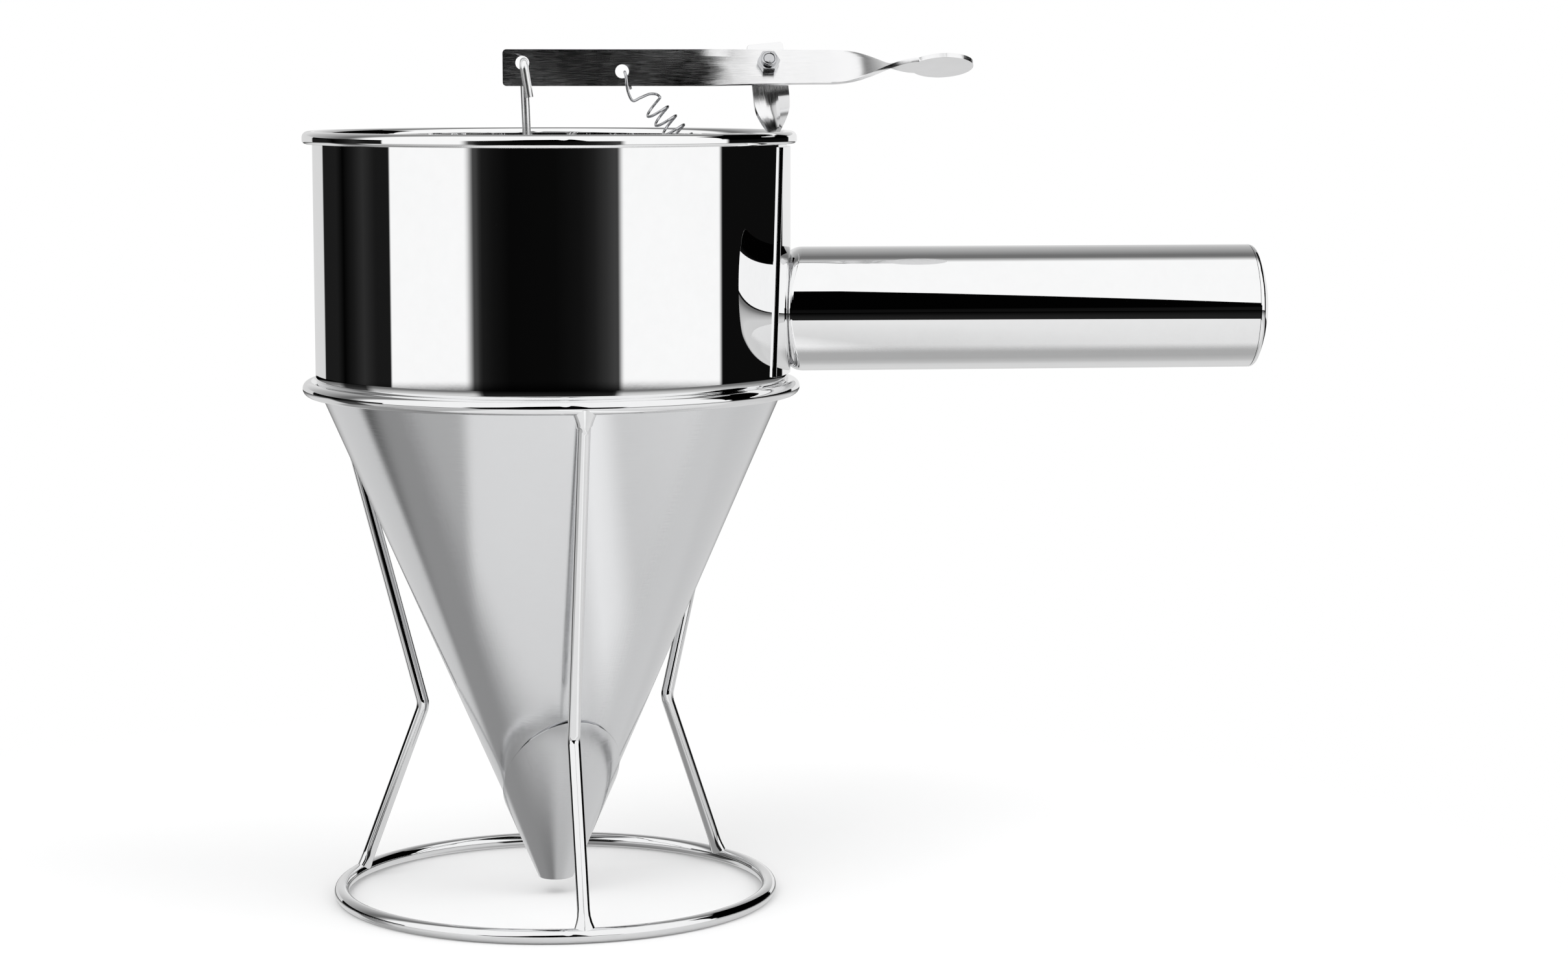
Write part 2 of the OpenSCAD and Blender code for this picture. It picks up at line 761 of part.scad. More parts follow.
// Sides of the wire, each found from the one before so that the wire doesn't twist
function carried(path, first) = [
    for (i = 0, n = square_to(first, along(path, 0)); i < len(path);
        i = i + 1, n = square_to(n, along(path, min(i, len(path) - 1)))) n
];

// Round wire along a path, as one closed mesh
module swept_wire(path, r, sides) {
    normals = carried(path, [0, 1, 0.2]);
    points = [
        for (i = [0:len(path) - 1]) for (k = [0:sides - 1])
            path[i] + r * (cos(360 * k / sides) * normals[i]
                + sin(360 * k / sides) * cross(along(path, i), normals[i]))
    ];
    count = len(path);
    polyhedron(points, concat(
        [[for (k = [0:sides - 1]) k]],
        [
            for (i = [0:count - 2]) for (k = [0:sides - 1])
                let (a = i * sides, n = (k + 1) % sides)
                    [a + k, a + sides + k, a + sides + n, a + n]
        ],
        [[for (k = [sides - 1:-1:0]) (count - 1) * sides + k]]
    ));
}

module return_spring() {
    color(steel_wire) swept_wire(spring_path, spring_wire_d / 2, 6);
}

stand_top_ring();
stand_base_ring();
stand_leg_front();
stand_leg_right();
stand_leg_left();
bowl_shell();
cone_shell();
nozzle_tip();
handle_saddle();
handle_tube();
handle_weld();
handle_end_cap();
pivot_bracket();
pivot_bolt();
pivot_washer();
pivot_nut();
trigger_lever();
plunger_rod();
valve_plug();
return_spring();
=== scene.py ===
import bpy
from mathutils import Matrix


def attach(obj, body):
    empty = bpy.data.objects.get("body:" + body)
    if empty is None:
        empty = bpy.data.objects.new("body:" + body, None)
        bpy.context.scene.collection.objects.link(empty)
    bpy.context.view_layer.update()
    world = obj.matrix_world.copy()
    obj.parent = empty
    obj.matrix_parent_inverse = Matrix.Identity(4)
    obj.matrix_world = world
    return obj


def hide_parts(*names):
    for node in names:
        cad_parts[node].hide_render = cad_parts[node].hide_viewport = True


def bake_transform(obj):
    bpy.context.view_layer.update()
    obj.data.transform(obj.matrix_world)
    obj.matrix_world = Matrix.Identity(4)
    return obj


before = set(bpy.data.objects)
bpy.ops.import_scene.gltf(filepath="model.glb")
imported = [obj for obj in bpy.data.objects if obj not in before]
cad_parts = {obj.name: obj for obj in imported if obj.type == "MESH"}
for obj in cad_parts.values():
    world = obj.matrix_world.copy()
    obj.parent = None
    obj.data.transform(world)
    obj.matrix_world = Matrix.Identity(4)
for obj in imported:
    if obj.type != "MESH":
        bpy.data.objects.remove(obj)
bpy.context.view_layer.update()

import math
from types import SimpleNamespace

import bmesh
import bpy
from bpy.props import FloatProperty, FloatVectorProperty, PointerProperty
from mathutils import Matrix, Vector

bl_info = {
    "name": "Batter Funnel",
    "version": (1, 0, 0),
    "blender": (4, 5, 0),
    "location": "3D View > Sidebar > Batter Funnel",
    "description": "Dresses the packed batter funnel and its wire stand in polished steel",
    "category": "Add Mesh",
}

MM = 0.001
# Steps of a full turn of the large round pieces
WHEEL = 256
# Gap between two sheets that lap each other
LAP = 0.05
# Lean of the lever, the bracket's top and the bolt at the pivot, as bent in use
LEAN = math.radians(22)
# Holes of the rod and of the spring: distance from the axis, height above the centre line
ROD_HOLE = (-7.6, 1.3)
SPRING_HOLE = (19.7, -1)
# Scale of the UV map that carries a strip's grain, for each millimetre
GRAIN = 0.1


# ---- sizes and finishes ----


def length(name, description, mm):
    """A length property that is given in millimetres and kept in metres."""
    return FloatProperty(
        name=name, description=description, default=mm * MM, min=0, precision=5,
        subtype="DISTANCE", unit="LENGTH",
    )


def angle(name, description, degrees):
    """An angle property that is given in degrees and kept in radians."""
    return FloatProperty(
        name=name, description=description, default=math.radians(degrees),
        subtype="ANGLE", unit="ROTATION",
    )


def colour(name, description, value):
    """A colour property."""
    return FloatVectorProperty(
        name=name, description=description, default=value, size=3, min=0, max=1,
        subtype="COLOR",
    )


def share(name, description, value):
    """A plain number from 0 to 1."""
    return FloatProperty(
        name=name, description=description, default=value, min=0, max=1, subtype="FACTOR",
    )


class FunnelSizes(bpy.types.PropertyGroup):
    """Sizes of the bowl, the cone and the nozzle."""

    bowl_r: length("Bowl radius", "Outer radius of the bowl's straight wall", 65)
    rim_z: length("Rim height", "Height of the middle of the rim's bead", 211.9)
    sheet: length("Sheet", "Thickness of the bowl's and the cone's sheet", 0.6)
    shoulder_r: length("Corner radius", "Radius of the corner from bowl to cone", 12)
    bead: length("Bead", "Diameter of the bead rolled round the rim", 3.4)
    corner_z: length("Corner height", "Height at which the wall and the cone meet", 144.9)
    outlet_z: length("Outlet height", "Height of the outlet above the table", 4.5)
    outlet_r: length("Outlet radius", "Outer radius of the cone at the outlet", 3.95)
    nozzle_wall: length("Nozzle sheet", "Thickness of the nozzle's sheet", 0.6)
    nozzle_top: length("Nozzle height", "Height of the slanted edge on the axis", 27.2)
    cone_end: length("Cone end", "Height of the cone's lower edge in the nozzle", 15.17)


class HandleSizes(bpy.types.PropertyGroup):
    """Sizes of the saddle plate, the tube handle and its end cap."""

    tube_r: length("Tube radius", "Outer radius of the handle tube", 17.25)
    wall: length("Tube wall", "Thickness of the tube", 1)
    axis_z: length("Axis height", "Height of the handle's axis", 164.2)
    plate_r: length("Plate radius", "Outer radius of the saddle plate", 66.05)
    plate: length("Plate", "Thickness of the saddle plate", 1)
    plate_top: length("Plate top", "Height of the plate's upper edge", 209.4)
    plate_foot: length("Plate foot", "Height of the plate's lower edge", 147.44)
    plate_top_w: length("Plate top width", "Half width of the plate's upper edge", 22.5)
    plate_foot_w: length("Plate foot width", "Half width of the plate's lower edge", 28.5)
    root_x: length("Root", "Distance of the tube's shoulder from the axis", 66.65)
    root_r: length("Shoulder radius", "Radius of the tube's shoulder", 1.5)
    seam_x: length("Cap seam", "Distance of the cap's seam from the axis", 196.05)
    cap_edge: length("Cap edge", "Width of the cap's straight edge", 1)
    cap_h: length("Cap dome", "Height of the cap's dome", 4)


class LeverSizes(bpy.types.PropertyGroup):
    """Sizes of the lever, its bracket and the pivot's fixings."""

    strip_w: length("Strip width", "Width of the lever and of the bracket", 10)
    strip: length("Strip", "Thickness of the lever and of the bracket", 1.2)
    lever_z: length("Lever height", "Height of the lever's centre line", 230.8)
    front: length("Lever front", "Distance of the lever's middle in front of the axis", 2.08)
    nose: length("Nose", "Length of the lever on the far side of the axis", 13)
    pivot_x: length("Pivot distance", "Distance of the pivot from the axis", 59.9)
    pivot_z: length("Pivot height", "Height of the pivot", 232.3)
    hook_hole: length("Hook holes", "Diameter of the rod's and the spring's hole", 3.8)
    twist_x: length("Twist start", "Distance of the twist's start from the axis", 76.9)
    twist: length("Twist length", "Length of the lever's twist", 24.4)
    pad_a: length("Pad half length", "Half of the oval pad's length", 8.6)
    pad_w: length("Pad width", "Width of the oval pad", 18)
    bolt: length("Bolt", "Diameter of the pivot bolt", 3)
    bolt_drop: length("Bolt drop", "Distance of the bolt below the pivot, along the strip", 0.7)
    play: length("Play", "Gap between the bolt and the lever's hole", 0.22)
    flats: length("Flats", "Width across the flats of the nut and the head", 5.5)


class StandSizes(bpy.types.PropertyGroup):
    """Sizes of the wire stand."""

    ring_wire: length("Ring wire", "Diameter of the rings' wire", 4)
    leg_wire: length("Leg wire", "Diameter of the legs' wire", 3.5)
    top_r: length("Top ring", "Radius of the top ring's centre line", 66.6)
    top_z: length("Top ring height", "Height of the top ring", 143.3)
    base_r: length("Base ring", "Radius of the base ring's centre line", 60)
    waist_r: length("Waist radius", "Distance of the waist from the axis", 40.3)
    waist_z: length("Waist height", "Height of the legs' waist", 51.2)
    waist_bend: length("Waist bend", "Radius of the bend at the waist", 5)
    turn: angle("Front leg", "Turn of the front leg from the front to the handle", 5)


class SteelFinishes(bpy.types.PropertyGroup):
    """Colours and roughness of the steel."""

    mirror: colour("Mirror sheet", "Colour of the mirror-polished sheet", (0.97, 0.972, 0.975))
    mirror_rough: share("Mirror roughness", "Roughness of the mirror polish", 0.01)
    satin: colour("Satin sheet", "Colour of the satin sheet", (0.82, 0.825, 0.835))
    satin_rough: share("Satin roughness", "Roughness of the satin sheet", 0.13)
    brushed: colour("Brushed strip", "Colour of the brushed strip", (0.98, 0.98, 0.985))
    brushed_rough: share("Brushed roughness", "Roughness of the brushed strip", 0.18)
    wire: colour("Polished wire", "Colour of the polished wire", (0.91, 0.913, 0.918))
    wire_rough: share("Wire roughness", "Roughness of the polished wire", 0.018)
    drawn: colour("Drawn wire", "Colour of the rod's drawn wire", (0.95, 0.952, 0.955))
    drawn_rough: share("Drawn roughness", "Roughness of the rod's drawn wire", 0.24)
    weld: colour("Weld", "Colour of the bare weld metal", (0.3, 0.3, 0.31))
    weld_rough: share("Weld roughness", "Roughness of the bare weld metal", 0.22)
    plated: colour("Plated fixings", "Colour of the plated fixings", (0.62, 0.625, 0.64))
    plated_rough: share("Plating roughness", "Roughness of the plated fixings", 0.12)


class StageLook(bpy.types.PropertyGroup):
    """Floor, light and camera."""

    floor: colour("Floor", "Colour of the floor", (0.95, 0.95, 0.95))
    floor_r: length("Floor radius", "Radius of the floor", 520)
    fade_start: length("Fade start", "Radius at which the floor starts to turn white", 180)
    fade_end: length("Fade end", "Radius from which the floor is white", 290)
    light: share("Light", "Level of the light that comes from all sides", 0.95)
    lens: FloatProperty(
        name="Lens", description="Focal length of the camera", default=80.36, min=1,
        subtype="DISTANCE_CAMERA", unit="CAMERA",
    )
    pitch: angle("Pitch", "How far the camera looks down", 6.774)
    yaw: angle("Yaw", "Turn of the camera's view towards the handle", 6)


def in_mm(group):
    """The lengths of a property group, in millimetres."""
    return SimpleNamespace(**{key: getattr(group, key) / MM for key in group.__annotations__})


# ---- shaping tools, all in millimetres ----


def verts_in(geometry):
    """The vertices in what a bmesh operator gives back."""
    return [v for v in geometry if isinstance(v, bmesh.types.BMVert)]


class Pen:
    """Draws an outline in the XZ plane of a new bmesh."""

    def __init__(self, x, z):
        self.bm = bmesh.new()
        self.first = self.tip = self.bm.verts.new((x, 0, z))

    def line(self, x, z):
        """Draws a straight edge to a point."""
        made = bmesh.ops.extrude_vert_indiv(self.bm, verts=[self.tip])
        self.tip = made["verts"][0]
        self.tip.co = (x, 0, z)
        return self

    def arc(self, x, z, degrees, steps):
        """Turns the pen round a centre; positive goes from +X to +Z."""
        made = bmesh.ops.spin(
            self.bm, geom=[self.tip], cent=(x, 0, z), axis=(0, -1, 0),
            angle=math.radians(degrees), steps=steps,
        )
        self.tip = verts_in(made["geom_last"])[0]
        return self

    def close(self):
        """Joins the last point to the first one."""
        self.bm.edges.new((self.tip, self.first))
        return self.bm


def cleaned(bm):
    """Merges doubles and turns the faces outwards."""
    bmesh.ops.remove_doubles(bm, verts=bm.verts[:], dist=1e-4)
    bmesh.ops.recalc_face_normals(bm, faces=bm.faces[:])
    return bm


def turned(bm, centre=(0, 0, 0), axis=(0, 0, 1), steps=WHEEL, degrees=360):
    """Spins an outline round an axis."""
    bmesh.ops.spin(
        bm, geom=bm.verts[:] + bm.edges[:], cent=centre, axis=axis,
        angle=math.radians(degrees), steps=steps, use_merge=degrees == 360,
    )
    return cleaned(bm)


def moved(bm, matrix):
    """Transforms the whole bmesh."""
    bmesh.ops.transform(bm, matrix=matrix, verts=bm.verts[:])
    return bm


def cut(bm, point, normal, drop=False):
    """Cuts with a plane, drops the normal's side if asked, and gives back the new edges."""
    made = bmesh.ops.bisect_plane(
        bm, geom=bm.verts[:] + bm.edges[:] + bm.faces[:], dist=1e-5,
        plane_co=point, plane_no=normal, clear_outer=drop,
    )
    return [e for e in made["geom_cut"] if isinstance(e, bmesh.types.BMEdge)]


def softened(bm, edges, width, segments=2):
    """Rounds edges."""
    bmesh.ops.bevel(
        bm, geom=edges, offset=width, offset_type="OFFSET", segments=segments,
        profile=0.5, affect="EDGES", material=-1, clamp_overlap=True,
    )
    return bm


def sharp(bm, degrees=35):
    """Edges at which the surface turns by more than an angle."""
    limit = math.radians(degrees)
    return [e for e in bm.edges if e.is_manifold and e.calc_face_angle() > limit]


def filled(bm):
    """Fills closed outlines in one plane, with the inner ones as holes."""
    bmesh.ops.triangle_fill(bm, edges=bm.edges[:], use_beauty=True, normal=(0, -1, 0))
    return bm


def raised(bm, way):
    """Extrudes the faces by a vector and keeps the first ones as the other end."""
    made = bmesh.ops.extrude_face_region(bm, geom=bm.faces[:], use_keep_orig=True)
    bmesh.ops.translate(bm, verts=verts_in(made["geom"]), vec=way)


def thickened(bm, thickness):
    """Gives a sheet in the XZ plane its thickness, centred on y 0."""
    raised(bm, (0, thickness, 0))
    bmesh.ops.translate(bm, verts=bm.verts[:], vec=(0, -thickness / 2, 0))
    return cleaned(bm)


def wire(points, radius, sides=20, closed=False, swell=None):
    """Round wire along a line of points; swell gives each point's share of the radius."""
    curve = bpy.data.curves.new("wire", "CURVE")
    curve.dimensions = "3D"
    curve.bevel_depth = radius
    curve.bevel_resolution = sides // 2 - 2
    curve.use_fill_caps = not closed
    spline = curve.splines.new("POLY")
    spline.points.add(len(points) - 1)
    for i, (spot, point) in enumerate(zip(spline.points, points)):
        spot.co = (*point, 1)
        spot.radius = swell[i] if swell else 1
    spline.use_cyclic_u = closed
    holder = bpy.data.objects.new("wire", curve)
    bpy.context.scene.collection.objects.link(holder)
    graph = bpy.context.evaluated_depsgraph_get()
    mesh = bpy.data.meshes.new_from_object(holder.evaluated_get(graph))
    bm = bmesh.new()
    bm.from_mesh(mesh)
    bpy.data.objects.remove(holder)
    bpy.data.curves.remove(curve)
    bpy.data.meshes.remove(mesh)
    return cleaned(bm)


def mapped(bm):
    """Lays a UV map on a flat piece along its length, so that its grain follows a twist."""
    layer = bm.loops.layers.uv.new("grain")
    for face in bm.faces:
        for loop in face.loops:
            loop[layer].uv = (loop.vert.co.x * GRAIN, loop.vert.co.z * GRAIN)
    return bm


def piece(bm, name, body, slot, *nodes, smooth=25, look=None):
    """Makes the finished bmesh a piece that rides on a body and stands for CAD nodes."""
    cleaned(bm)
    bmesh.ops.scale(bm, vec=(MM, MM, MM), verts=bm.verts[:])
    mesh = bpy.data.meshes.new(name)
    bm.to_mesh(mesh)
    bm.free()
    mesh.shade_smooth()
    mesh.set_sharp_from_angle(angle=math.radians(smooth))
    mesh.materials.append(finish(look or slot))
    obj = bpy.data.objects.new(name, mesh)
    bpy.context.scene.collection.objects.link(obj)
    even = obj.modifiers.new("Even normals", "WEIGHTED_NORMAL")
    even.keep_sharp = True
    if body:
        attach(obj, body)
    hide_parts(*nodes)
    return obj


# ---- finishes ----


class Nodes:
    """Short way to place and join shader nodes."""

    def __init__(self, tree):
        self.tree = tree
        tree.nodes.clear()

    def node(self, kind, values=None, **settings):
        """Adds a node with its settings and inputs."""
        made = self.tree.nodes.new("ShaderNode" + kind)
        for key, value in settings.items():
            setattr(made, key, value)
        for key, value in (values or {}).items():
            if isinstance(value, bpy.types.NodeSocket):
                self.tree.links.new(value, made.inputs[key])
            else:
                made.inputs[key].default_value = value
        return made

    def add(self, kind, values=None, out=0, **settings):
        """Adds a node and returns one of its outputs."""
        made = self.node(kind, values, **settings)
        return made.outputs[out] if made.outputs else made

    def apart(self, vector):
        """The three coordinates of a vector."""
        return self.node("SeparateXYZ", {0: vector}).outputs

    def maths(self, operation, a, b=0.0):
        """A Math node."""
        return self.add("Math", {0: a, 1: b}, operation=operation)

    def step(self, value, start, end):
        """A soft step from 0 to 1."""
        limits = {"Value": value, "From Min": start, "From Max": end}
        return self.add("MapRange", limits, interpolation_type="SMOOTHSTEP")

    def ramp(self, value, stops):
        """A Color Ramp with grey stops: pairs of a place and a level."""
        made = self.node("ValToRGB", {0: value})
        elements = made.color_ramp.elements
        while len(elements) < len(stops):
            elements.new(0.5)
        for element, (place, level) in zip(elements, stops):
            element.position = place
            element.color = (level, level, level, 1)
        return made.outputs[0]


def around(nodes, place):
    """Coordinates that run round the Z axis and along it, in metres of surface."""
    mean_r = 0.05
    x, y, z = nodes.apart(place)
    run = nodes.maths("MULTIPLY", nodes.maths("ARCTAN2", y, x), mean_r)
    return nodes.add("CombineXYZ", {0: run, 1: z})


def steel(slot, base, rough, spread, stretch, depth, lay):
    """Steel with fine lines of polish, clouds of wear in its sheen and a faint relief."""
    made = bpy.data.materials.new("finish_" + slot)
    made.use_nodes = True
    nodes = Nodes(made.node_tree)
    if lay == "grain":
        place = nodes.add("UVMap", uv_map="grain")
    else:
        place = nodes.add("TexCoord", out="Object")
    if lay == "round":
        place = around(nodes, place)
    lines = nodes.add(
        "TexNoise",
        {"Vector": nodes.add("Mapping", {"Vector": place, "Scale": stretch}),
         "Scale": 1.0, "Detail": 4.0, "Roughness": 0.6},
    )
    clouds = nodes.add(
        "TexNoise",
        {"Vector": nodes.add("TexCoord", out="Object"), "Scale": 60.0, "Detail": 3.0},
    )
    polish, wear = nodes.maths("MULTIPLY", lines, 0.6), nodes.maths("MULTIPLY", clouds, 0.4)
    sheen = nodes.maths("ADD", polish, wear)
    dull = [0.93 * level for level in base]
    tone = nodes.add(
        "Mix", {"Factor": sheen, 6: (*dull, 1), 7: (*base, 1)}, 2, data_type="RGBA",
    )
    roughness = nodes.add(
        "MapRange",
        {"Value": sheen, "From Min": 0.3, "From Max": 0.7,
         "To Min": rough - spread, "To Max": rough + spread},
    )
    relief = nodes.add("Bump", {"Height": lines, "Strength": 1.0, "Distance": depth * MM})
    values = {"Base Color": tone, "Metallic": 1.0, "Roughness": roughness, "Normal": relief}
    if lay == "grain":
        along = nodes.add("Tangent", direction_type="UV_MAP", uv_map="grain")
        values.update({"Anisotropic": 0.85, "Anisotropic Rotation": 0.25, "Tangent": along})
    shader = nodes.add("BsdfPrincipled", values)
    nodes.add("OutputMaterial", {"Surface": shader})
    return made


# Each finish: the name of its colour and roughness, the spread of its roughness, the scale
# of its lines, the depth of its relief in millimetres and what its lines follow
PLATED = ("plated", 0.05, (700, 700, 700), 0.002, "object")
FINISHES = {
    "mirror_sheet": ("mirror", 0.004, (300, 300, 300), 0.0002, "object"),
    "satin_sheet": ("satin", 0.05, (120, 2600, 1), 0.004, "round"),
    "brushed_strip": ("brushed", 0.1, (2.2, 40, 1), 0.012, "grain"),
    "polished_wire": ("wire", 0.008, (500, 500, 500), 0.0006, "object"),
    "drawn_wire": ("drawn", 0.05, (900, 900, 60), 0.002, "object"),
    "weld": ("weld", 0.06, (900, 900, 900), 0.02, "object"),
    "fastener": PLATED,
    "spring_wire": PLATED,
    "turned_plug": PLATED,
}


def finish(slot):
    """The material of a slot, made when it is first asked for."""
    found = bpy.data.materials.get("finish_" + slot)
    if found:
        return found
    key, spread, stretch, depth, lay = FINISHES[slot]
    look = bpy.context.scene.funnel_finishes
    base, rough = getattr(look, key), getattr(look, key + "_rough")
    return steel(slot, base, rough, spread, stretch, depth, lay)


# ---- funnel ----


def cone_slope(s):
    """How far the cone widens for each millimetre of height."""
    return (s.bowl_r - s.outlet_r) / (s.corner_z - s.outlet_z)


def cone_r(s, z):
    """Radius of the cone's outer face at a height."""
    return s.outlet_r + cone_slope(s) * (z - s.outlet_z)


def cone_angle(s):
    """Half angle of the cone."""
    return math.atan(cone_slope(s))


class FUNNEL_OT_bowl(bpy.types.Operator):
    """Makes the mirror-polished bowl with its rolled bead and rounded corner"""

    bl_idname = "funnel.bowl"
    bl_label = "Bowl"

    def execute(self, context):
        s = in_mm(context.scene.funnel_sizes)
        turn = cone_angle(s)
        half = math.degrees(turn)
        x = s.bowl_r - s.shoulder_r
        z = s.corner_z + s.shoulder_r * math.tan(turn / 2)
        bead_r, corner, gap = s.bead / 2, 0.9, 0.3
        bead_x, foot = s.bowl_r - s.sheet + bead_r, s.rim_z - bead_r
        edge = bead_x + bead_r
        pen = Pen(s.bowl_r, z)
        pen.line(s.bowl_r, s.rim_z)
        pen.arc(bead_x, s.rim_z, -180, 28)
        pen.line(edge - s.sheet, foot + s.sheet)
        pen.line(s.bowl_r + gap, foot + s.sheet)
        pen.line(s.bowl_r + gap, foot)
        pen.line(edge - corner, foot)
        pen.arc(edge - corner, foot + corner, 90, 8)
        pen.line(edge, s.rim_z)
        pen.arc(bead_x, s.rim_z, 180, 28)
        pen.line(s.bowl_r - s.sheet, z)
        pen.arc(x, z, -half, 12)
        pen.line(x + s.shoulder_r * math.cos(turn), z - s.shoulder_r * math.sin(turn))
        pen.arc(x, z, half, 12)
        piece(turned(pen.bm), "bowl", "funnel", "mirror_sheet", "bowl_shell")
        return {"FINISHED"}


class FUNNEL_OT_cone(bpy.types.Operator):
    """Makes the satin cone below the bowl"""

    bl_idname = "funnel.cone"
    bl_label = "Cone"

    def execute(self, context):
        s = in_mm(context.scene.funnel_sizes)
        turn = cone_angle(s)
        x = s.bowl_r - s.shoulder_r
        z = s.corner_z + s.shoulder_r * math.tan(turn / 2)
        inner = s.shoulder_r - s.sheet
        low = s.cone_end
        level = s.sheet / math.cos(turn)
        pen = Pen(cone_r(s, low), low)
        pen.line(x + s.shoulder_r * math.cos(turn), z - s.shoulder_r * math.sin(turn))
        pen.line(x + inner * math.cos(turn), z - inner * math.sin(turn))
        pen.line(cone_r(s, low) - level, low)
        piece(turned(pen.close()), "cone", "funnel", "satin_sheet", "cone_shell")
        return {"FINISHED"}


class FUNNEL_OT_nozzle(bpy.types.Operator):
    """Makes the nozzle over the cone's end, with its slanted and rounded upper edge"""

    bl_idname = "funnel.nozzle"
    bl_label = "Nozzle"

    def execute(self, context):
        s = in_mm(context.scene.funnel_sizes)
        level = 1 / math.cos(cone_angle(s))
        lip = 0.15
        outer, inner = (s.nozzle_wall + lip + LAP) * level, LAP * level
        high = 60
        pen = Pen(cone_r(s, s.outlet_z) + inner, s.outlet_z)
        pen.line(cone_r(s, s.outlet_z) + outer, s.outlet_z)
        pen.line(cone_r(s, high) + outer, high)
        pen.line(cone_r(s, high) + inner, high)
        bm = turned(pen.close())
        turn, slope = math.radians(10), math.radians(-45)
        slant = Matrix.Rotation(turn, 3, "Z") @ Matrix.Rotation(slope, 3, "X")
        edges = cut(bm, (0, 0, s.nozzle_top), slant @ Vector((0, 0, 1)), drop=True)
        bmesh.ops.bridge_loops(bm, edges=edges)
        cleaned(bm)
        softened(bm, sharp(bm, 30), 0.3, 4)
        piece(bm, "nozzle", "funnel", "satin_sheet", "nozzle_tip")
        return {"FINISHED"}


# ---- handle ----


class FUNNEL_OT_saddle(bpy.types.Operator):
    """Makes the saddle plate between the bowl and the handle"""

    bl_idname = "funnel.saddle"
    bl_label = "Saddle plate"

    def execute(self, context):
        s = in_mm(context.scene.handle_sizes)
        pen = Pen(s.plate_r, s.plate_foot)
        pen.line(s.plate_r, s.plate_top)
        pen.line(s.plate_r - s.plate, s.plate_top)
        pen.line(s.plate_r - s.plate, s.plate_foot)
        bm = pen.close()
        reach = 30
        moved(bm, Matrix.Rotation(math.radians(-reach), 4, "Z"))
        turned(bm, steps=80, degrees=2 * reach)
        rise = s.plate_top - s.plate_foot
        for side in (-1, 1):
            way = Vector((0, side * rise, s.plate_foot_w - s.plate_top_w)).normalized()
            edges = cut(bm, (0, side * s.plate_foot_w, s.plate_foot), way, drop=True)
            bmesh.ops.holes_fill(bm, edges=edges, sides=0)
        cleaned(bm)
        softened(bm, sharp(bm, 40), 0.25, 3)
        piece(bm, "saddle_plate", "funnel", "mirror_sheet", "handle_saddle")
        return {"FINISHED"}


def shoulder(out):
    """Depth and length of the handle's shoulder, which is longer above and below."""
    high = (out.z / out.length) ** 2
    depth, more_depth, run, more_run = 0.9, 1.3, 1.3, 2.4
    return depth + more_depth * high, run + more_run * high


class FUNNEL_OT_handle(bpy.types.Operator):
    """Makes the tube handle with its rounded shoulder and coped neck"""

    bl_idname = "funnel.handle"
    bl_label = "Tube handle"

    def execute(self, context):
        s = in_mm(context.scene.handle_sizes)
        neck, z, ease = s.tube_r - s.root_r, s.axis_z, 0.15
        pen = Pen(s.root_x, z + neck)
        pen.arc(s.root_x + s.root_r, z + neck, -90, 12)
        pen.line(s.seam_x - ease, z + s.tube_r)
        pen.line(s.seam_x, z + s.tube_r - ease)
        pen.line(s.seam_x, z + s.tube_r - s.wall)
        pen.line(s.root_x + s.root_r, z + s.tube_r - s.wall)
        pen.line(s.root_x, z + neck - s.wall)
        bm = turned(pen.close(), (0, 0, z), (1, 0, 0), 192)
        for v in bm.verts:
            along = (v.co.x - s.root_x) / s.root_r
            if along < 1.001:
                out = Vector((0, v.co.y, v.co.z - z))
                inset, run = shoulder(out)
                share_in = (s.tube_r - out.length) / s.root_r
                out *= (s.tube_r - inset * share_in) / out.length
                face = math.sqrt((s.plate_r + LAP) ** 2 - out.y ** 2)
                v.co = (face + run * along, out.y, z + out.z)
        piece(bm, "handle", "funnel", "mirror_sheet", "handle_tube")
        return {"FINISHED"}


class FUNNEL_OT_handle_weld(bpy.types.Operator):
    """Makes the fine weld round the handle's neck, with a drop above and one below"""

    bl_idname = "funnel.handle_weld"
    bl_label = "Handle weld"

    def execute(self, context):
        s = in_mm(context.scene.handle_sizes)
        steps, bead, flat, squash = 360, 0.28, 0.45, 0.7
        off_plate, off_tube, drop_w = 0.2, 0.1, 0.085
        drops = ((math.radians(128), 3.6), (math.radians(241), 4.6))
        points, swell = [], []
        for i in range(steps):
            turn = math.tau * i / steps
            out = Vector((0, math.cos(turn), math.sin(turn)))
            out *= s.tube_r - shoulder(out)[0] + off_tube
            face = math.sqrt((s.plate_r + off_plate) ** 2 - out.y ** 2)
            points.append((face, out.y, s.axis_z + out.z))
            ripple = 0.09 * math.sin(37 * turn) + 0.06 * math.sin(59 * turn + 1)
            swell.append(1 + ripple + sum(
                size * math.exp(-((turn - place) / drop_w) ** 2) for place, size in drops))
        bm = wire(points, bead, sides=16, closed=True, swell=swell)
        for v in bm.verts:
            out = Vector((0, v.co.y, v.co.z - s.axis_z))
            past = out.length - s.tube_r - flat
            if past > 0:
                v.co -= out.normalized() * past * squash
        piece(bm, "root_weld", "funnel", "satin_sheet", "handle_weld", smooth=60, look="weld")
        return {"FINISHED"}


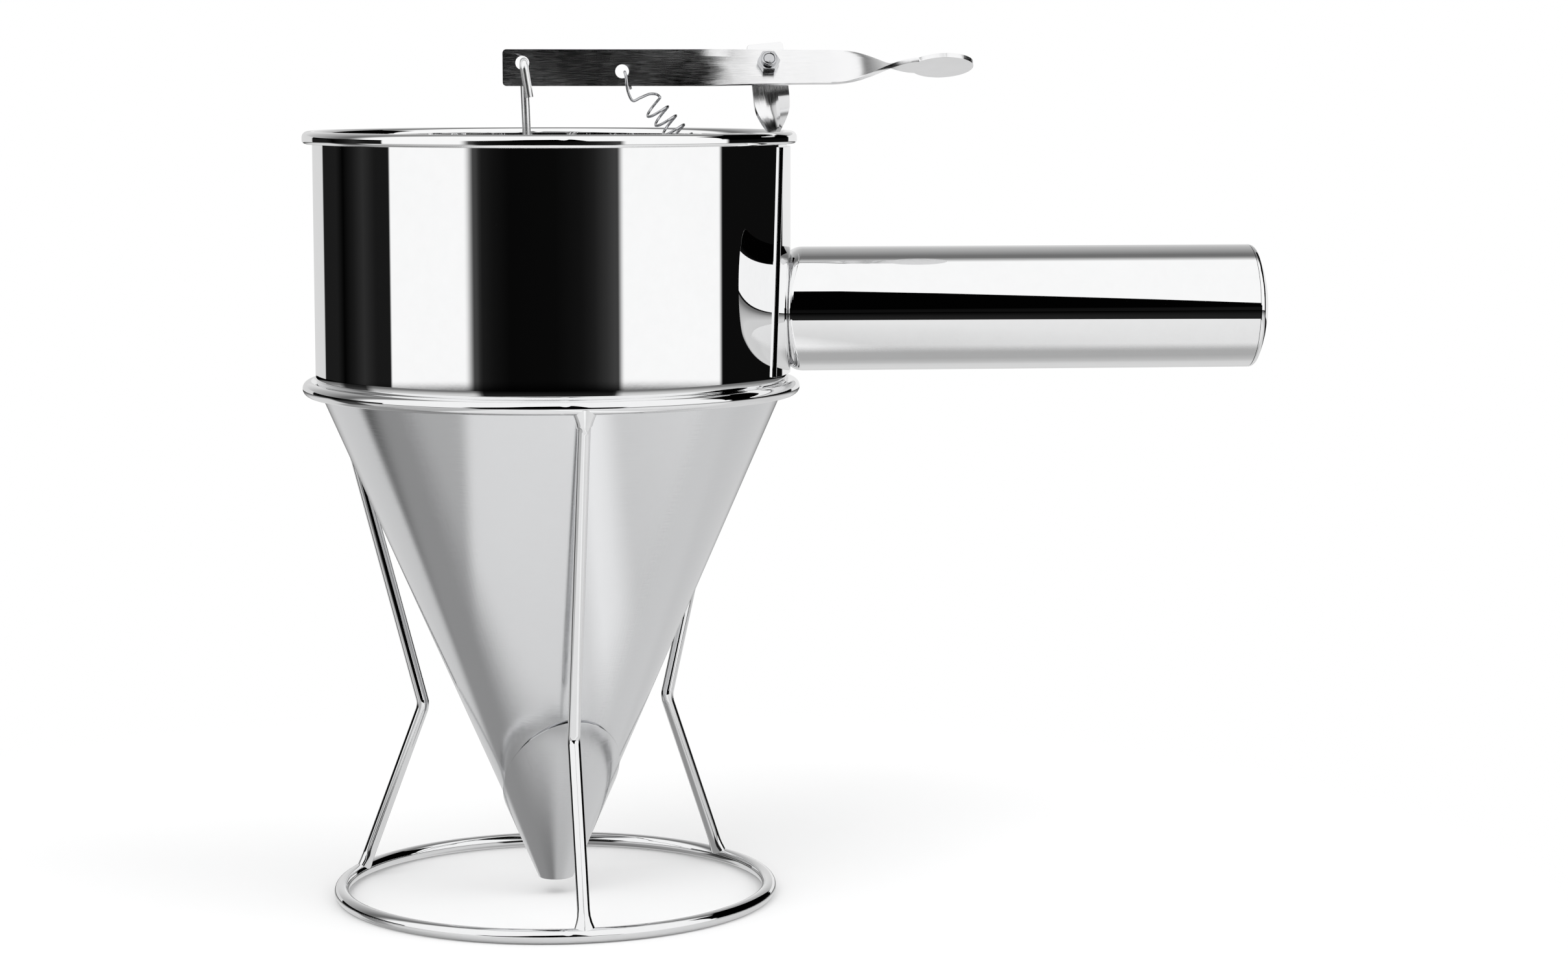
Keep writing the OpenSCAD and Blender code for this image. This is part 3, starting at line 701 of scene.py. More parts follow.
class FUNNEL_OT_end_cap(bpy.types.Operator):
    """Makes the domed end cap of the handle"""

    bl_idname = "funnel.end_cap"
    bl_label = "End cap"

    def execute(self, context):
        s = in_mm(context.scene.handle_sizes)
        z, edge = s.axis_z, s.seam_x + s.cap_edge
        dome = (s.tube_r ** 2 + s.cap_h ** 2) / (2 * s.cap_h)
        middle = edge + s.cap_h - dome
        reach = math.degrees(math.asin(s.tube_r / dome))
        inner, skirt, corner_w = s.tube_r - s.wall - LAP, 6, 2.4
        pen = Pen(edge + s.cap_h, z)
        pen.arc(middle, z, reach, 24)
        corner = pen.tip
        pen.line(s.seam_x + LAP, z + s.tube_r)
        pen.line(s.seam_x + LAP, z + inner)
        pen.line(s.seam_x - skirt, z + inner)
        pen.line(s.seam_x - skirt, z + inner - s.wall)
        pen.line(edge, z + inner - s.wall)
        pen.line(edge + s.cap_h - s.wall, z)
        bmesh.ops.bevel(
            pen.bm, geom=[corner], offset=corner_w, offset_type="OFFSET", segments=8,
            profile=0.5, affect="VERTICES", material=-1,
        )
        bm = turned(pen.bm, (0, 0, z), (1, 0, 0), 192)
        piece(bm, "end_cap", "funnel", "mirror_sheet", "handle_end_cap")
        return {"FINISHED"}


# ---- bracket, pivot and lever ----


def strip_end(pen, x, half, radius):
    """Draws the end of a strip at x, with two round corners, from its lower edge up."""
    pen.line(x + radius, -half)
    pen.arc(x + radius, -half + radius, -90, 6)
    pen.line(x, half - radius)
    pen.arc(x + radius, half - radius, -90, 6)


def hole(bm, x, z, radius):
    """Adds a round outline to a flat drawing."""
    place = Matrix.Translation((x, 0, z)) @ Matrix.Rotation(math.pi / 2, 4, "X")
    bmesh.ops.create_circle(bm, segments=40, radius=radius, matrix=place)


def sliced(bm, start, end, count):
    """Cuts a flat piece across its length so that it can be twisted or bent."""
    for i in range(count + 1):
        cut(bm, (start + (end - start) * i / count, 0, 0), (1, 0, 0))


def eased(value, start, end):
    """Share of the way from start to end, with a soft start and end."""
    t = min(max((value - start) / (end - start), 0), 1)
    return t * t * (3 - 2 * t)


def twisted(bm, start, end, degrees, height=0):
    """Twists a strip round a line along X from one place to another."""
    for v in bm.verts:
        even = min(max((v.co.x - start) / (end - start), 0), 1)
        t = 0.1 * even + 0.9 * eased(even, 0, 1)
        arm = Vector((0, 0, height))
        v.co = Matrix.Rotation(math.radians(degrees) * t, 3, "X") @ (v.co - arm) + arm


def leaned(bm, slope, reach, end):
    """Leans the top of a strip along X back at its hole, and brings its foot back to line."""
    span = end - reach
    for v in bm.verts:
        t = (v.co.x - reach) / span
        if t < 0:
            v.co.y -= slope * v.co.x
        elif t < 1:
            from_offset = reach * (2 * t ** 3 - 3 * t * t + 1)
            from_slope = span * (t ** 3 - 2 * t * t + t)
            v.co.y -= slope * (from_offset + from_slope)


def bent(bm, start, radius, degrees):
    """Bends a strip that lies along X towards +Z, from a place on."""
    whole = math.radians(degrees)
    for v in bm.verts:
        past = v.co.x - start
        if past > 0:
            turn = min(past / radius, whole)
            rest = past - turn * radius
            reach = radius - v.co.z
            v.co.x = start + reach * math.sin(turn) + rest * math.cos(turn)
            v.co.z = radius - reach * math.cos(turn) + rest * math.sin(turn)


class FUNNEL_OT_bracket(bpy.types.Operator):
    """Makes the twisted bracket that carries the pivot, with its foot and tab"""

    bl_idname = "funnel.bracket"
    bl_label = "Bracket"

    def execute(self, context):
        s = in_mm(context.scene.lever_sizes)
        lean_degrees = 5.6
        lean = math.radians(lean_degrees)
        top, neck, twist, foot, tab = 5.2, 8.4, 15.5, 12, 9.5
        foot_x, fold, knee, leaning = 63.56, 1.8, 10, 3
        tab_hole, tab_hole_r = 3.55, 1.25
        run = (foot_x - s.pivot_x) / math.sin(lean)
        knee_x = run - knee * math.tan(lean / 2)
        fold_x = knee_x + knee * lean + foot - fold - knee * math.tan(lean / 2)
        end = fold_x + fold * math.pi / 2 + tab - fold
        half = s.strip_w / 2
        pen = Pen(end, -half)
        strip_end(pen, -top, half, 1)
        pen.line(end, half)
        bm = pen.close()
        bolt_x = (s.front * math.sin(LEAN) + s.bolt_drop) * math.cos(LEAN)
        hole(bm, bolt_x, 0, s.bolt / 2 + LAP)
        hole(bm, end - tab_hole, 0, tab_hole_r)
        filled(bm)
        sliced(bm, -1.5, neck, 10)
        sliced(bm, neck, neck + twist, 40)
        sliced(bm, knee_x, knee_x + knee * lean, 4)
        sliced(bm, fold_x, fold_x + fold * math.pi / 2, 10)
        thickened(bm, s.strip)
        softened(bm, sharp(bm), 0.16, 2)
        mapped(bm)
        twisted(bm, neck, neck + twist, 90)
        leaned(bm, math.tan(LEAN), leaning, neck + twist)
        bent(bm, fold_x, fold, 90)
        bent(bm, knee_x, knee, lean_degrees)
        place = Matrix.Translation((s.pivot_x, 0, s.pivot_z))
        down = Matrix(((0, 0, -1), (0, 1, 0), (-1, 0, 0))).to_4x4()
        moved(bm, place @ Matrix.Rotation(-lean, 4, "Y") @ down)
        piece(bm, "bracket", "funnel", "brushed_strip", "pivot_bracket")
        return {"FINISHED"}


def at_pivot(s, bm, y):
    """Turns a piece made along +Z to the front, on the bolt's leaning axis, y from the lever."""
    forward, down = s.bolt_drop * math.sin(LEAN), s.bolt_drop * math.cos(LEAN)
    place = Matrix.Translation((s.pivot_x, -s.front - forward, s.pivot_z - down))
    place = place @ Matrix.Rotation(-LEAN, 4, "X") @ Matrix.Translation((0, y, 0))
    return moved(bm, place @ Matrix.Rotation(math.pi / 2, 4, "X"))


def hexagon(flats, low, high, ease):
    """Six-sided head with corners up and down and a chamfer at its upper face."""
    bm = bmesh.new()
    turn = Matrix.Rotation(math.radians(30), 4, "Z")
    bmesh.ops.create_circle(
        bm, cap_ends=True, segments=6, radius=flats / math.sqrt(3),
        matrix=Matrix.Translation((0, 0, low)) @ turn,
    )
    raised(bm, (0, 0, high - low))
    cleaned(bm)
    softened(bm, sharp(bm), ease, 2)
    return bm


def joined(*parts):
    """Puts several bmeshes in one."""
    bm = parts[0]
    for other in parts[1:]:
        mesh = bpy.data.meshes.new("part")
        other.to_mesh(mesh)
        bm.from_mesh(mesh)
        other.free()
        bpy.data.meshes.remove(mesh)
    return bm


class FUNNEL_OT_pivot(bpy.types.Operator):
    """Makes the pivot bolt, its washer and its nut"""

    bl_idname = "funnel.pivot"
    bl_label = "Bolt, washer and nut"

    def execute(self, context):
        s = in_mm(context.scene.lever_sizes)
        apart = s.front * math.cos(LEAN)
        nut_h, collar_h, collar_r, head, disc, disc_r = 2.6, 1.2, 2.2, 2, 0.4, 3.2
        nut_gap, tip_round, tip_rise = 0.26, 0.35, 0.1
        collar_foot, collar_round, mouth = 0.3, 0.4, 0.15
        back, face = apart + s.strip / 2 + LAP, apart - s.strip / 2 - LAP
        nut = s.strip / 2 + nut_gap
        grip, r = back + nut + nut_h + collar_h, s.bolt / 2
        pen = Pen(0, 0)
        pen.line(r, 0)
        pen.line(r, grip - tip_round)
        pen.arc(r - tip_round, grip - tip_round, 90, 5)
        pen.line(0, grip + tip_rise)
        shank = turned(pen.bm, steps=48)
        bolt = joined(shank, hexagon(s.flats, -head, 0, 0.25))
        piece(at_pivot(s, bolt, back), "bolt", "funnel", "fastener", "pivot_bolt")
        hole_r = r + LAP
        pen = Pen(hole_r, 0)
        pen.line(disc_r, 0)
        pen.line(disc_r, disc)
        pen.line(hole_r, disc)
        washer = turned(pen.close(), steps=64)
        softened(washer, sharp(washer), 0.08, 2)
        piece(at_pivot(s, washer, face), "washer", "funnel", "fastener", "pivot_washer")
        top = nut_h + collar_h
        pen = Pen(hole_r, collar_foot)
        pen.line(collar_r, collar_foot)
        pen.line(collar_r, top - collar_round)
        pen.arc(collar_r - collar_round, top - collar_round, 90, 6)
        pen.line(hole_r + mouth, top)
        pen.line(hole_r, top - mouth)
        nut_piece = joined(hexagon(s.flats, 0, nut_h, 0.3), turned(pen.close(), steps=64))
        piece(at_pivot(s, nut_piece, -nut), "nut", "funnel", "fastener", "pivot_nut")
        return {"FINISHED"}


class FUNNEL_OT_lever(bpy.types.Operator):
    """Makes the lever: a flat strip that twists into an oval thumb pad"""

    bl_idname = "funnel.lever"
    bl_label = "Lever"

    def execute(self, context):
        s = in_mm(context.scene.lever_sizes)
        half, end = s.strip_w / 2, s.twist_x + s.twist
        start = math.pi - math.asin(s.strip_w / s.pad_w)
        steps = 30
        oval = []
        for i in range(steps + 1):
            turn = start * (1 - i / steps)
            x = end + s.pad_a * (math.cos(turn) - math.cos(start))
            oval.append((x, s.pad_w / 2 * math.sin(turn)))
        pen = Pen(*oval[-1])
        for x, z in reversed(oval[:-1]):
            pen.line(x, -z)
        strip_end(pen, -s.nose, half, 1)
        for x, z in oval[:-1]:
            pen.line(x, z)
        bm = pen.close()
        rise = s.pivot_z - s.lever_z
        for place in (ROD_HOLE, SPRING_HOLE):
            hole(bm, *place, s.hook_hole / 2)
        hole(bm, s.pivot_x, rise - s.bolt_drop, s.bolt / 2 + s.play)
        filled(bm)
        # The lean grows slowly up to the kink, quickly up to the bow and evenly after it
        loose, kink, bow, kinked, slack, pad_turn = 23, 39, 51, 0.56, 0.12, 108
        sliced(bm, loose, kink, 6)
        sliced(bm, kink, bow, 16)
        sliced(bm, bow, s.twist_x, 16)
        sliced(bm, s.twist_x, end, 60)
        thickened(bm, s.strip)
        softened(bm, sharp(bm), 0.2, 2)
        mapped(bm)

        def leaning(x):
            left = min(max((s.twist_x - x) / (s.twist_x - bow), 0), 1)
            rest = (1 - kinked - slack) * (1 - left ** 2)
            return slack * eased(x, loose, kink) + kinked * eased(x, kink, bow) + rest

        lean = LEAN / leaning(s.pivot_x)
        for v in bm.verts:
            arm = Vector((0, 0, rise))
            v.co = Matrix.Rotation(-lean * leaning(v.co.x), 3, "X") @ (v.co - arm) + arm
        twisted(bm, s.twist_x, end, math.degrees(lean) - pad_turn)
        moved(bm, Matrix.Translation((0, -s.front, s.lever_z)))
        piece(bm, "lever", "lever", "brushed_strip", "trigger_lever")
        return {"FINISHED"}


# ---- rod, plug and spring ----


class FUNNEL_OT_rod(bpy.types.Operator):
    """Makes the plunger rod with the hook over the lever"""

    bl_idname = "funnel.rod"
    bl_label = "Rod"

    def execute(self, context):
        s = in_mm(context.scene.lever_sizes)
        radius, hook, knee, hook_leg = 1.15, s.front, 3, 7.6
        arc_splay, leg_splay = 0.2, 0.9
        foot, bend, top = Vector((0, 0, 10.55)), Vector((0, 0, 30.5)), Vector((-7.1, 0, 230.32))
        way, front = (top - bend).normalized(), Vector((0, -1, 0))
        low, high = bend - Vector((0, 0, knee)), bend + way * knee
        points = [foot, low, (low + high) / 2 * 0.5 + bend * 0.5, high, top]
        steps = 20
        for i in range(1, steps + 1):
            turn = math.pi * i / steps
            points.append(top + hook * ((1 - math.cos(turn)) * front + math.sin(turn) * way))
        points.append(top + 2 * hook * front - hook_leg * way)
        for i, point in enumerate(points[-steps:]):
            point.x += max(i - steps / 2, 0) / steps * arc_splay
        points[-1].x += leg_splay
        bm = wire(points, radius, sides=24)
        softened(bm, sharp(bm, 60), 0.15, 2)
        piece(bm, "rod", "plunger", "polished_wire", "plunger_rod", smooth=35, look="drawn_wire")
        return {"FINISHED"}


class FUNNEL_OT_plug(bpy.types.Operator):
    """Makes the turned plug that closes the outlet"""

    bl_idname = "funnel.plug"
    bl_label = "Plug"

    def execute(self, context):
        s = in_mm(context.scene.funnel_sizes)
        base, seat, cone, hub = 9.5, 3.6, 3, 2.4
        gap, edge, back_edge, bore_r, bore_foot = 0.1, 0.3, 0.25, 1.2, 1
        ease = LAP - gap / math.cos(cone_angle(s))
        hub_r, top = 2.2, base + seat + cone + hub
        pen = Pen(0, base)
        pen.line(cone_r(s, base) + ease - edge, base)
        pen.line(cone_r(s, base + edge) + ease, base + edge)
        pen.line(cone_r(s, base + seat) + ease, base + seat)
        pen.line(cone_r(s, base + seat) + ease - back_edge, base + seat + edge)
        pen.line(hub_r, base + seat + cone)
        pen.line(hub_r, top - edge)
        pen.line(hub_r - edge, top)
        pen.line(bore_r, top)
        pen.line(bore_r, base + bore_foot)
        pen.line(0, base + bore_foot)
        piece(turned(pen.bm, steps=96), "plug", "plunger", "turned_plug", "valve_plug")
        return {"FINISHED"}


def smooth_line(points, steps):
    """Points of a smooth curve through all but the first and the last point."""
    line = []
    for a, b, c, d in zip(points, points[1:], points[2:], points[3:]):
        for i in range(steps):
            t = i / steps
            line.append(0.5 * (2 * b + t * (c - a) + t * t * (2 * a - 5 * b + 4 * c - d)
                               + t ** 3 * (3 * b - a - 3 * c + d)))
    return line


class FUNNEL_OT_spring(bpy.types.Operator):
    """Makes the coil spring with its two hooks, stretched between lever and bracket"""

    bl_idname = "funnel.spring"
    bl_label = "Return spring"

    def execute(self, context):
        s = in_mm(context.scene.lever_sizes)
        turns, coil_r, steps, wire_r, part = 13, 3, 32, 0.375, 0.06
        x, z, y = SPRING_HOLE[0], s.lever_z + SPRING_HOLE[1], -s.front
        face = y + s.strip / 2
        tab_x, tab_z, tab_edge = 57.6, 183.0, 54.06
        high = Vector((x + 8.2, y, z - 9.1))
        low = Vector((tab_x - 1.2, 0, tab_z + 5.5))
        way = (low - high).normalized()
        side = Vector((-way.z, 0, way.x)).normalized()
        front = side.cross(way)

        def coil(turn):
            at = math.tau * turn
            out = math.cos(at) * side + math.sin(at) * front
            return high.lerp(low, turn / turns) + coil_r * out

        back, fore = face + 0.65, face - s.strip - 0.6
        upper = [
            (2.7, back, -6), (2.5, back, -4.9), (1.5, back, -1.9), (0.8, y + 0.6, -0.3),
            (0.8, y - 0.7, -0.4), (1.1, fore, -2.3), (1.5, fore, -5.4), (2.8, fore, -8),
            (5, y - 0.3, -7.2), (7.6, y + 1.4, -6.2), (9.6, y + 1.6, -6.3),
        ]
        upper = [Vector((x + a, b, z + c)) for a, b, c in upper] + [coil(0), coil(part)]
        lower = [
            coil(turns - part), coil(turns), Vector((tab_x + 0.2, -1.2, tab_z + 4.4)),
            Vector((tab_x + 0.1, 0, tab_z + 2)), Vector((tab_x, 0, tab_z - 1)),
            Vector((tab_x - 1.4, 0, tab_z - 2.3)), Vector((tab_edge, 0, tab_z - 2)),
            Vector((tab_edge - 1.1, 0, tab_z)), Vector((tab_edge - 0.8, 0, tab_z + 1.7)),
            Vector((tab_edge - 0.4, 0, tab_z + 2.6)),
        ]
        line = smooth_line(upper, 8)
        line += [coil(i / steps) for i in range(turns * steps)]
        line += smooth_line(lower, 8)
        bm = wire(line, wire_r, sides=12)
        spring = piece(bm, "spring", None, "spring_wire", "return_spring", smooth=60)
        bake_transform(spring)
        return {"FINISHED"}


# ---- stand ----


class FUNNEL_OT_rings(bpy.types.Operator):
    """Makes the top ring and the base ring of the stand"""

    bl_idname = "funnel.rings"
    bl_label = "Rings"

    def execute(self, context):
        s = in_mm(context.scene.stand_sizes)
        radius = s.ring_wire / 2
        for name, reach, z in (
            ("top_ring", s.top_r, s.top_z), ("base_ring", s.base_r, radius),
        ):
            bm = bmesh.new()
            upright = Matrix.Translation((reach, 0, z)) @ Matrix.Rotation(math.pi / 2, 4, "X")
            bmesh.ops.create_circle(bm, segments=28, radius=radius, matrix=upright)
            piece(turned(bm), name, "stand", "polished_wire", "stand_" + name)
        return {"FINISHED"}


class FUNNEL_OT_legs(bpy.types.Operator):
    """Makes the three bent legs with their welds"""

    bl_idname = "funnel.legs"
    bl_label = "Legs"

    def execute(self, context):
        s = in_mm(context.scene.stand_sizes)
        front = context.scene.stand_sizes.turn - math.pi / 2
        ring, radius, bend = s.ring_wire / 2, s.leg_wire / 2, s.waist_bend
        top, waist = Vector((s.top_r, 0, s.top_z)), Vector((s.waist_r, 0, s.waist_z))
        foot = Vector((s.base_r, 0, ring))
        up, down = (top - waist).normalized(), (foot - waist).normalized()
        half = (math.pi - up.angle(down)) / 2
        a, b = waist + up * bend * math.tan(half), waist + down * bend * math.tan(half)
        centre = waist + (up + down).normalized() * bend / math.cos(half)
        # The weld: a flare at each end, and below the top ring a sleeve with a ragged edge
        flare_h, flare_w, sleeve, sleeve_t, ragged, edge_h = 4.6, 0.8, 6.2, 0.32, 0.8, 0.7
        points = [top - up * i / 4 for i in range(36)]
        points += [points[-1].lerp(a, i / 50) for i in range(1, 50)]
        for i in range(13):
            turn = Matrix.Rotation(-2 * half * i / 12, 3, "Y")
            points.append(centre + turn @ (a - centre))
        points += [b + (foot - b) * i / 30 for i in range(1, 31)]
        for name, third in (("leg_front", 0), ("leg_right", 1), ("leg_left", -1)):
            bm = wire(points, radius, sides=24)
            for v in bm.verts:
                reach = min((v.co - top).length, (v.co - foot).length) - ring
                flare = min(max(1 - reach / flare_h, 0), 1)
                v.co.y *= 1 + flare_w * flare * flare
                along = (top - v.co).dot(up)
                if along < sleeve + 2:
                    spoke = v.co - (top - up * along)
                    edge = sleeve + ragged * math.sin(4 * v.co.y / radius + 1)
                    share_out = 1 - eased(along, edge - edge_h, edge)
                    v.co += spoke.normalized() * sleeve_t * share_out
            moved(bm, Matrix.Rotation(front + third * math.tau / 3, 4, "Z"))
            piece(bm, name, "stand", "polished_wire", "stand_" + name, smooth=40)
        return {"FINISHED"}


# ---- stage ----


class FUNNEL_OT_stage(bpy.types.Operator):
    """Sets the floor, the studio's light and the camera"""

    bl_idname = "funnel.stage"
    bl_label = "Stage"

    def execute(self, context):
        look = context.scene.funnel_stage
        scene = context.scene
        scene.view_settings.view_transform = "Standard"
        self.floor(scene, look)
        self.studio(scene, look)
        for name, place, size, power in (
            ("Key lamp", (-0.7, -0.9, 1.3), 1.0, 6.0),
            ("Fill lamp", (0.9, -0.4, 1.1), 1.0, 4.0),
        ):
            data = bpy.data.lights.new(name, "AREA")
            data.energy, data.size = power, size
            lamp = bpy.data.objects.new(name, data)
            lamp.location = place
            lamp.rotation_euler = (-Vector(place)).to_track_quat("-Z", "Y").to_euler()
            lamp.visible_glossy = False
            scene.collection.objects.link(lamp)
        self.camera(scene, look)
        return {"FINISHED"}

    def floor(self, scene, look):
        """A pale disc that turns into the white background at its edge, with painted light and
        shadow that only polished steel sees.
        """
        bm = bmesh.new()
        bmesh.ops.create_circle(bm, cap_ends=True, segments=96, radius=look.floor_r)
        mesh = bpy.data.meshes.new("floor")
        bm.to_mesh(mesh)
        bm.free()
        made = bpy.data.materials.new("pale_floor")
        made.use_nodes = True
        nodes = Nodes(made.node_tree)
        place = nodes.add("TexCoord", out="Object")
        reach = nodes.add("VectorMath", {0: place}, "Value", operation="LENGTH")
        fade = nodes.step(reach, look.fade_start, look.fade_end)
        path = nodes.node("LightPath").outputs
        camera, glossy = path["Is Camera Ray"], path["Is Glossy Ray"]
        x, y, _ = nodes.apart(place)
        start, span = PAINTED_TABLE_SHADE[0][0], PAINTED_TABLE_SHADE[-1][0] - PAINTED_TABLE_SHADE[0][0]
        across = nodes.maths("ADD", x, nodes.maths("MULTIPLY", y, TABLE_SLANT))
        across = nodes.maths("SUBTRACT", across, start * MM)
        across = nodes.maths("DIVIDE", across, span * MM)
        # Painted shadow and light on the table for glossy rays only: darker at the left and
        # lighter at the right
        shade = nodes.ramp(across, [
            ((at - start) / span, level * look.floor[0]) for at, level in PAINTED_TABLE_SHADE])
        tone = nodes.add(
            "Mix", {"Factor": glossy, 6: (*look.floor, 1), 7: shade}, 2, data_type="RGBA",
        )
        plain = nodes.add("BsdfDiffuse", {"Color": tone})
        white = nodes.add("Emission", {"Color": (1, 1, 1, 1), "Strength": 1.0})
        seen = nodes.maths("MULTIPLY", fade, camera)
        faded = nodes.add("MixShader", {0: seen, 1: plain, 2: white})
        behind = nodes.step(y, TABLE_END[0] * MM, TABLE_END[1] * MM)
        passed = nodes.maths("MULTIPLY", behind, glossy)
        clear = nodes.add("BsdfTransparent")
        ended = nodes.add("MixShader", {0: passed, 1: faded, 2: clear})
        nodes.add("OutputMaterial", {"Surface": ended})
        mesh.materials.append(made)
        floor = bpy.data.objects.new("floor", mesh)
        scene.collection.objects.link(floor)

    def studio(self, scene, look):
        """White surroundings, which polished steel sees with the studio's dark gaps."""
        world = bpy.data.worlds.new("studio")
        scene.world = world
        world.use_nodes = True
        world.cycles.sampling_method = "NONE"
        nodes = Nodes(world.node_tree)
        x, y, z = nodes.apart(nodes.add("TexCoord", out="Generated"))
        front = nodes.maths("MULTIPLY", y, -1.0)
        side = nodes.maths("MULTIPLY", nodes.maths("ARCTAN2", x, front), math.degrees(1))
        rise = nodes.maths("MULTIPLY", nodes.maths("ARCSINE", z), math.degrees(1))
        turn = nodes.maths("ADD", nodes.maths("DIVIDE", side, 360.0), 0.5)

        def by_side(stops, whole=1):
            return nodes.ramp(turn, [(at / 360 + 0.5, level / whole) for at, level in stops])

        def less(value):
            return nodes.maths("SUBTRACT", 1.0, value)

        gloom = nodes.maths("MULTIPLY", nodes.step(rise, *GLOOM), GLOOM_SHARE)
        walls = nodes.maths("MULTIPLY", by_side(WALLS), less(gloom))
        low = less(nodes.step(rise, *PANEL_TOP))
        for start, lit_from, lit_to, end, level in PANELS:
            after, past = nodes.step(side, start, lit_from), nodes.step(side, lit_to, end)
            lit = nodes.maths("MULTIPLY", nodes.maths("SUBTRACT", after, past), level)
            walls = nodes.maths("MAXIMUM", walls, nodes.maths("MULTIPLY", lit, low))
        walls = nodes.maths("MULTIPLY", walls, nodes.step(rise, *FOOT))
        down = nodes.maths("DIVIDE", rise, -90.0)
        depth = nodes.ramp(down, [(-at / 90, level) for at, level in DEPTH])
        depth = nodes.maths("MULTIPLY", depth, less(nodes.step(rise, *BRINK)))
        deep = nodes.maths("MULTIPLY", nodes.step(x, *DEEP_SIDE), 1 - DEEP_LEFT)
        deep = nodes.maths("ADD", deep, DEEP_LEFT)
        more = nodes.maths("SUBTRACT", by_side(BANDS), deep)
        banded = nodes.maths("MULTIPLY", nodes.step(rise, *BANDS_FOOT), more)
        depth = nodes.maths("MULTIPLY", depth, nodes.maths("ADD", deep, banded))
        walls = nodes.maths("MAXIMUM", walls, depth)
        edge = nodes.maths("MULTIPLY", by_side(CEILING, 90), 90.0)
        over = nodes.maths("SUBTRACT", rise, edge)
        back = nodes.maths("SUBTRACT", 0.5, nodes.maths("MULTIPLY", front, 0.5))
        tops = nodes.ramp(back, [(0.5 + at / 2, level) for at, level in TOPS])
        above = nodes.maths("MULTIPLY", nodes.step(over, *CEILING_EDGE), tops)
        shown = nodes.maths("MAXIMUM", walls, above)
        path = nodes.node("LightPath").outputs
        apart = nodes.maths("SUBTRACT", shown, look.light)
        level = nodes.maths("MULTIPLY", path["Is Glossy Ray"], apart)
        level = nodes.maths("ADD", level, look.light)
        level = nodes.maths("MAXIMUM", level, path["Is Camera Ray"])
        background = nodes.add("Background", {"Color": level, "Strength": 1.0})
        nodes.add("OutputWorld", {"Surface": background})

    def camera(self, scene, look):
        """A camera a little above the rim, turned towards the handle."""
        distance, aside, height = 0.9673, 0.06426, 0.229
        data = bpy.data.cameras.new("camera")
        data.lens, data.sensor_width = look.lens, 36
        data.clip_start, data.clip_end = 0.01, 20
        camera = bpy.data.objects.new("camera", data)
        ahead = Vector((math.sin(look.yaw), math.cos(look.yaw), 0))
        right = Vector((math.cos(look.yaw), -math.sin(look.yaw), 0))
        up = math.sin(look.pitch) * ahead + Vector((0, 0, math.cos(look.pitch)))
        place = -distance * ahead + aside * right + Vector((0, 0, height))
        turned_to = Matrix((right, up, right.cross(up))).transposed().to_4x4()
        camera.matrix_world = Matrix.Translation(place) @ turned_to
        scene.collection.objects.link(camera)
        scene.camera = camera


# What polished steel sees of the studio. A direction is in degrees from the front, negative
# to the left, and a height in degrees above the horizon. A pair of heights is a soft step.

# Level of the dark walls by direction
WALLS = (
    (-180, 0.01), (-128, 0.012), (-121, 0.001), (-112, 0.01), (-104, 0.026), (-95, 0.01),
    (-86, 0.01), (-38.5, 0.06), (-36, 0.012), (-30, 0.006), (-22, 0.0025), (0, 0.003),
    (12, 0.006), (18, 0.012), (24, 0.03), (28, 0.05), (86, 0.05), (88.5, 0.004), (180, 0.004),
)
# Height at which the walls darken, and the share of their level that they lose
GLOOM = (-0.5, 2)
GLOOM_SHARE = 0.9
# Lit panels on the walls: start, full from, full to, end and level
PANELS = (
    (-86, -84.5, -44.5, -38.5, 1), (29, 33, 85.5, 88.5, 1), (143, 145, 181, 182, 0.85),
    (-182, -181, -146, -144, 0.7),
)
PANEL_TOP = (8, 10)
# Foot of the walls and the panels
FOOT = (-5.2, -4.95)
# Level of the lower half by height, where no table is seen, and where it starts
DEPTH = (
    (0, 0.1), (-8, 0.2), (-11, 0.5), (-15, 0.74), (-50, 0.67), (-60, 0.52), (-72, 0.42),
    (-90, 0.42),
)
BRINK = (-6.8, -6)
# Share of that level by direction, in the upper part of the lower half
BANDS = (
    (-180, 0.95), (-128, 0.95), (-122, 0.08), (-104, 0.08), (-98, 0.9), (-40, 0.9), (-36, 0.02),
    (28, 0.02), (32, 0.9), (180, 0.95),
)
BANDS_FOOT = (-34, -28)
# Share below the bands at the left, and the step across to the whole level at the right
DEEP_LEFT = 0.45
DEEP_SIDE = (-0.3, 0.1)
# Height above which the ceiling is seen, by direction, and the softness of its edge
CEILING = (
    (-180, 7), (-100, 7), (-60, 5), (-36, 7), (-22, 16), (-14, 26), (-3, 30), (2.2, 30),
    (3, 19), (5.2, 19), (6.3, 34), (7.4, 36), (8.5, 34.8), (9.4, 31.3), (10.3, 28.3), (11.1, 23.7),
    (11.8, 19.2), (12.7, 14.9), (13.5, 9.4), (14.5, 4.5), (37, 2), (60, 4.5), (84, 6),
    (88, 45), (143, 45), (147, 7), (180, 7),
)
CEILING_EDGE = (-0.3, 0.5)
# Level of the ceiling from the front, -1, to the back, 1
TOPS = (
    (-1, 1), (0.13, 1), (0.24, 0.45), (0.33, 0.17), (0.44, 0.17), (0.6, 0.3), (0.72, 0.4),
    (0.85, 0.5), (1, 0.78),
)
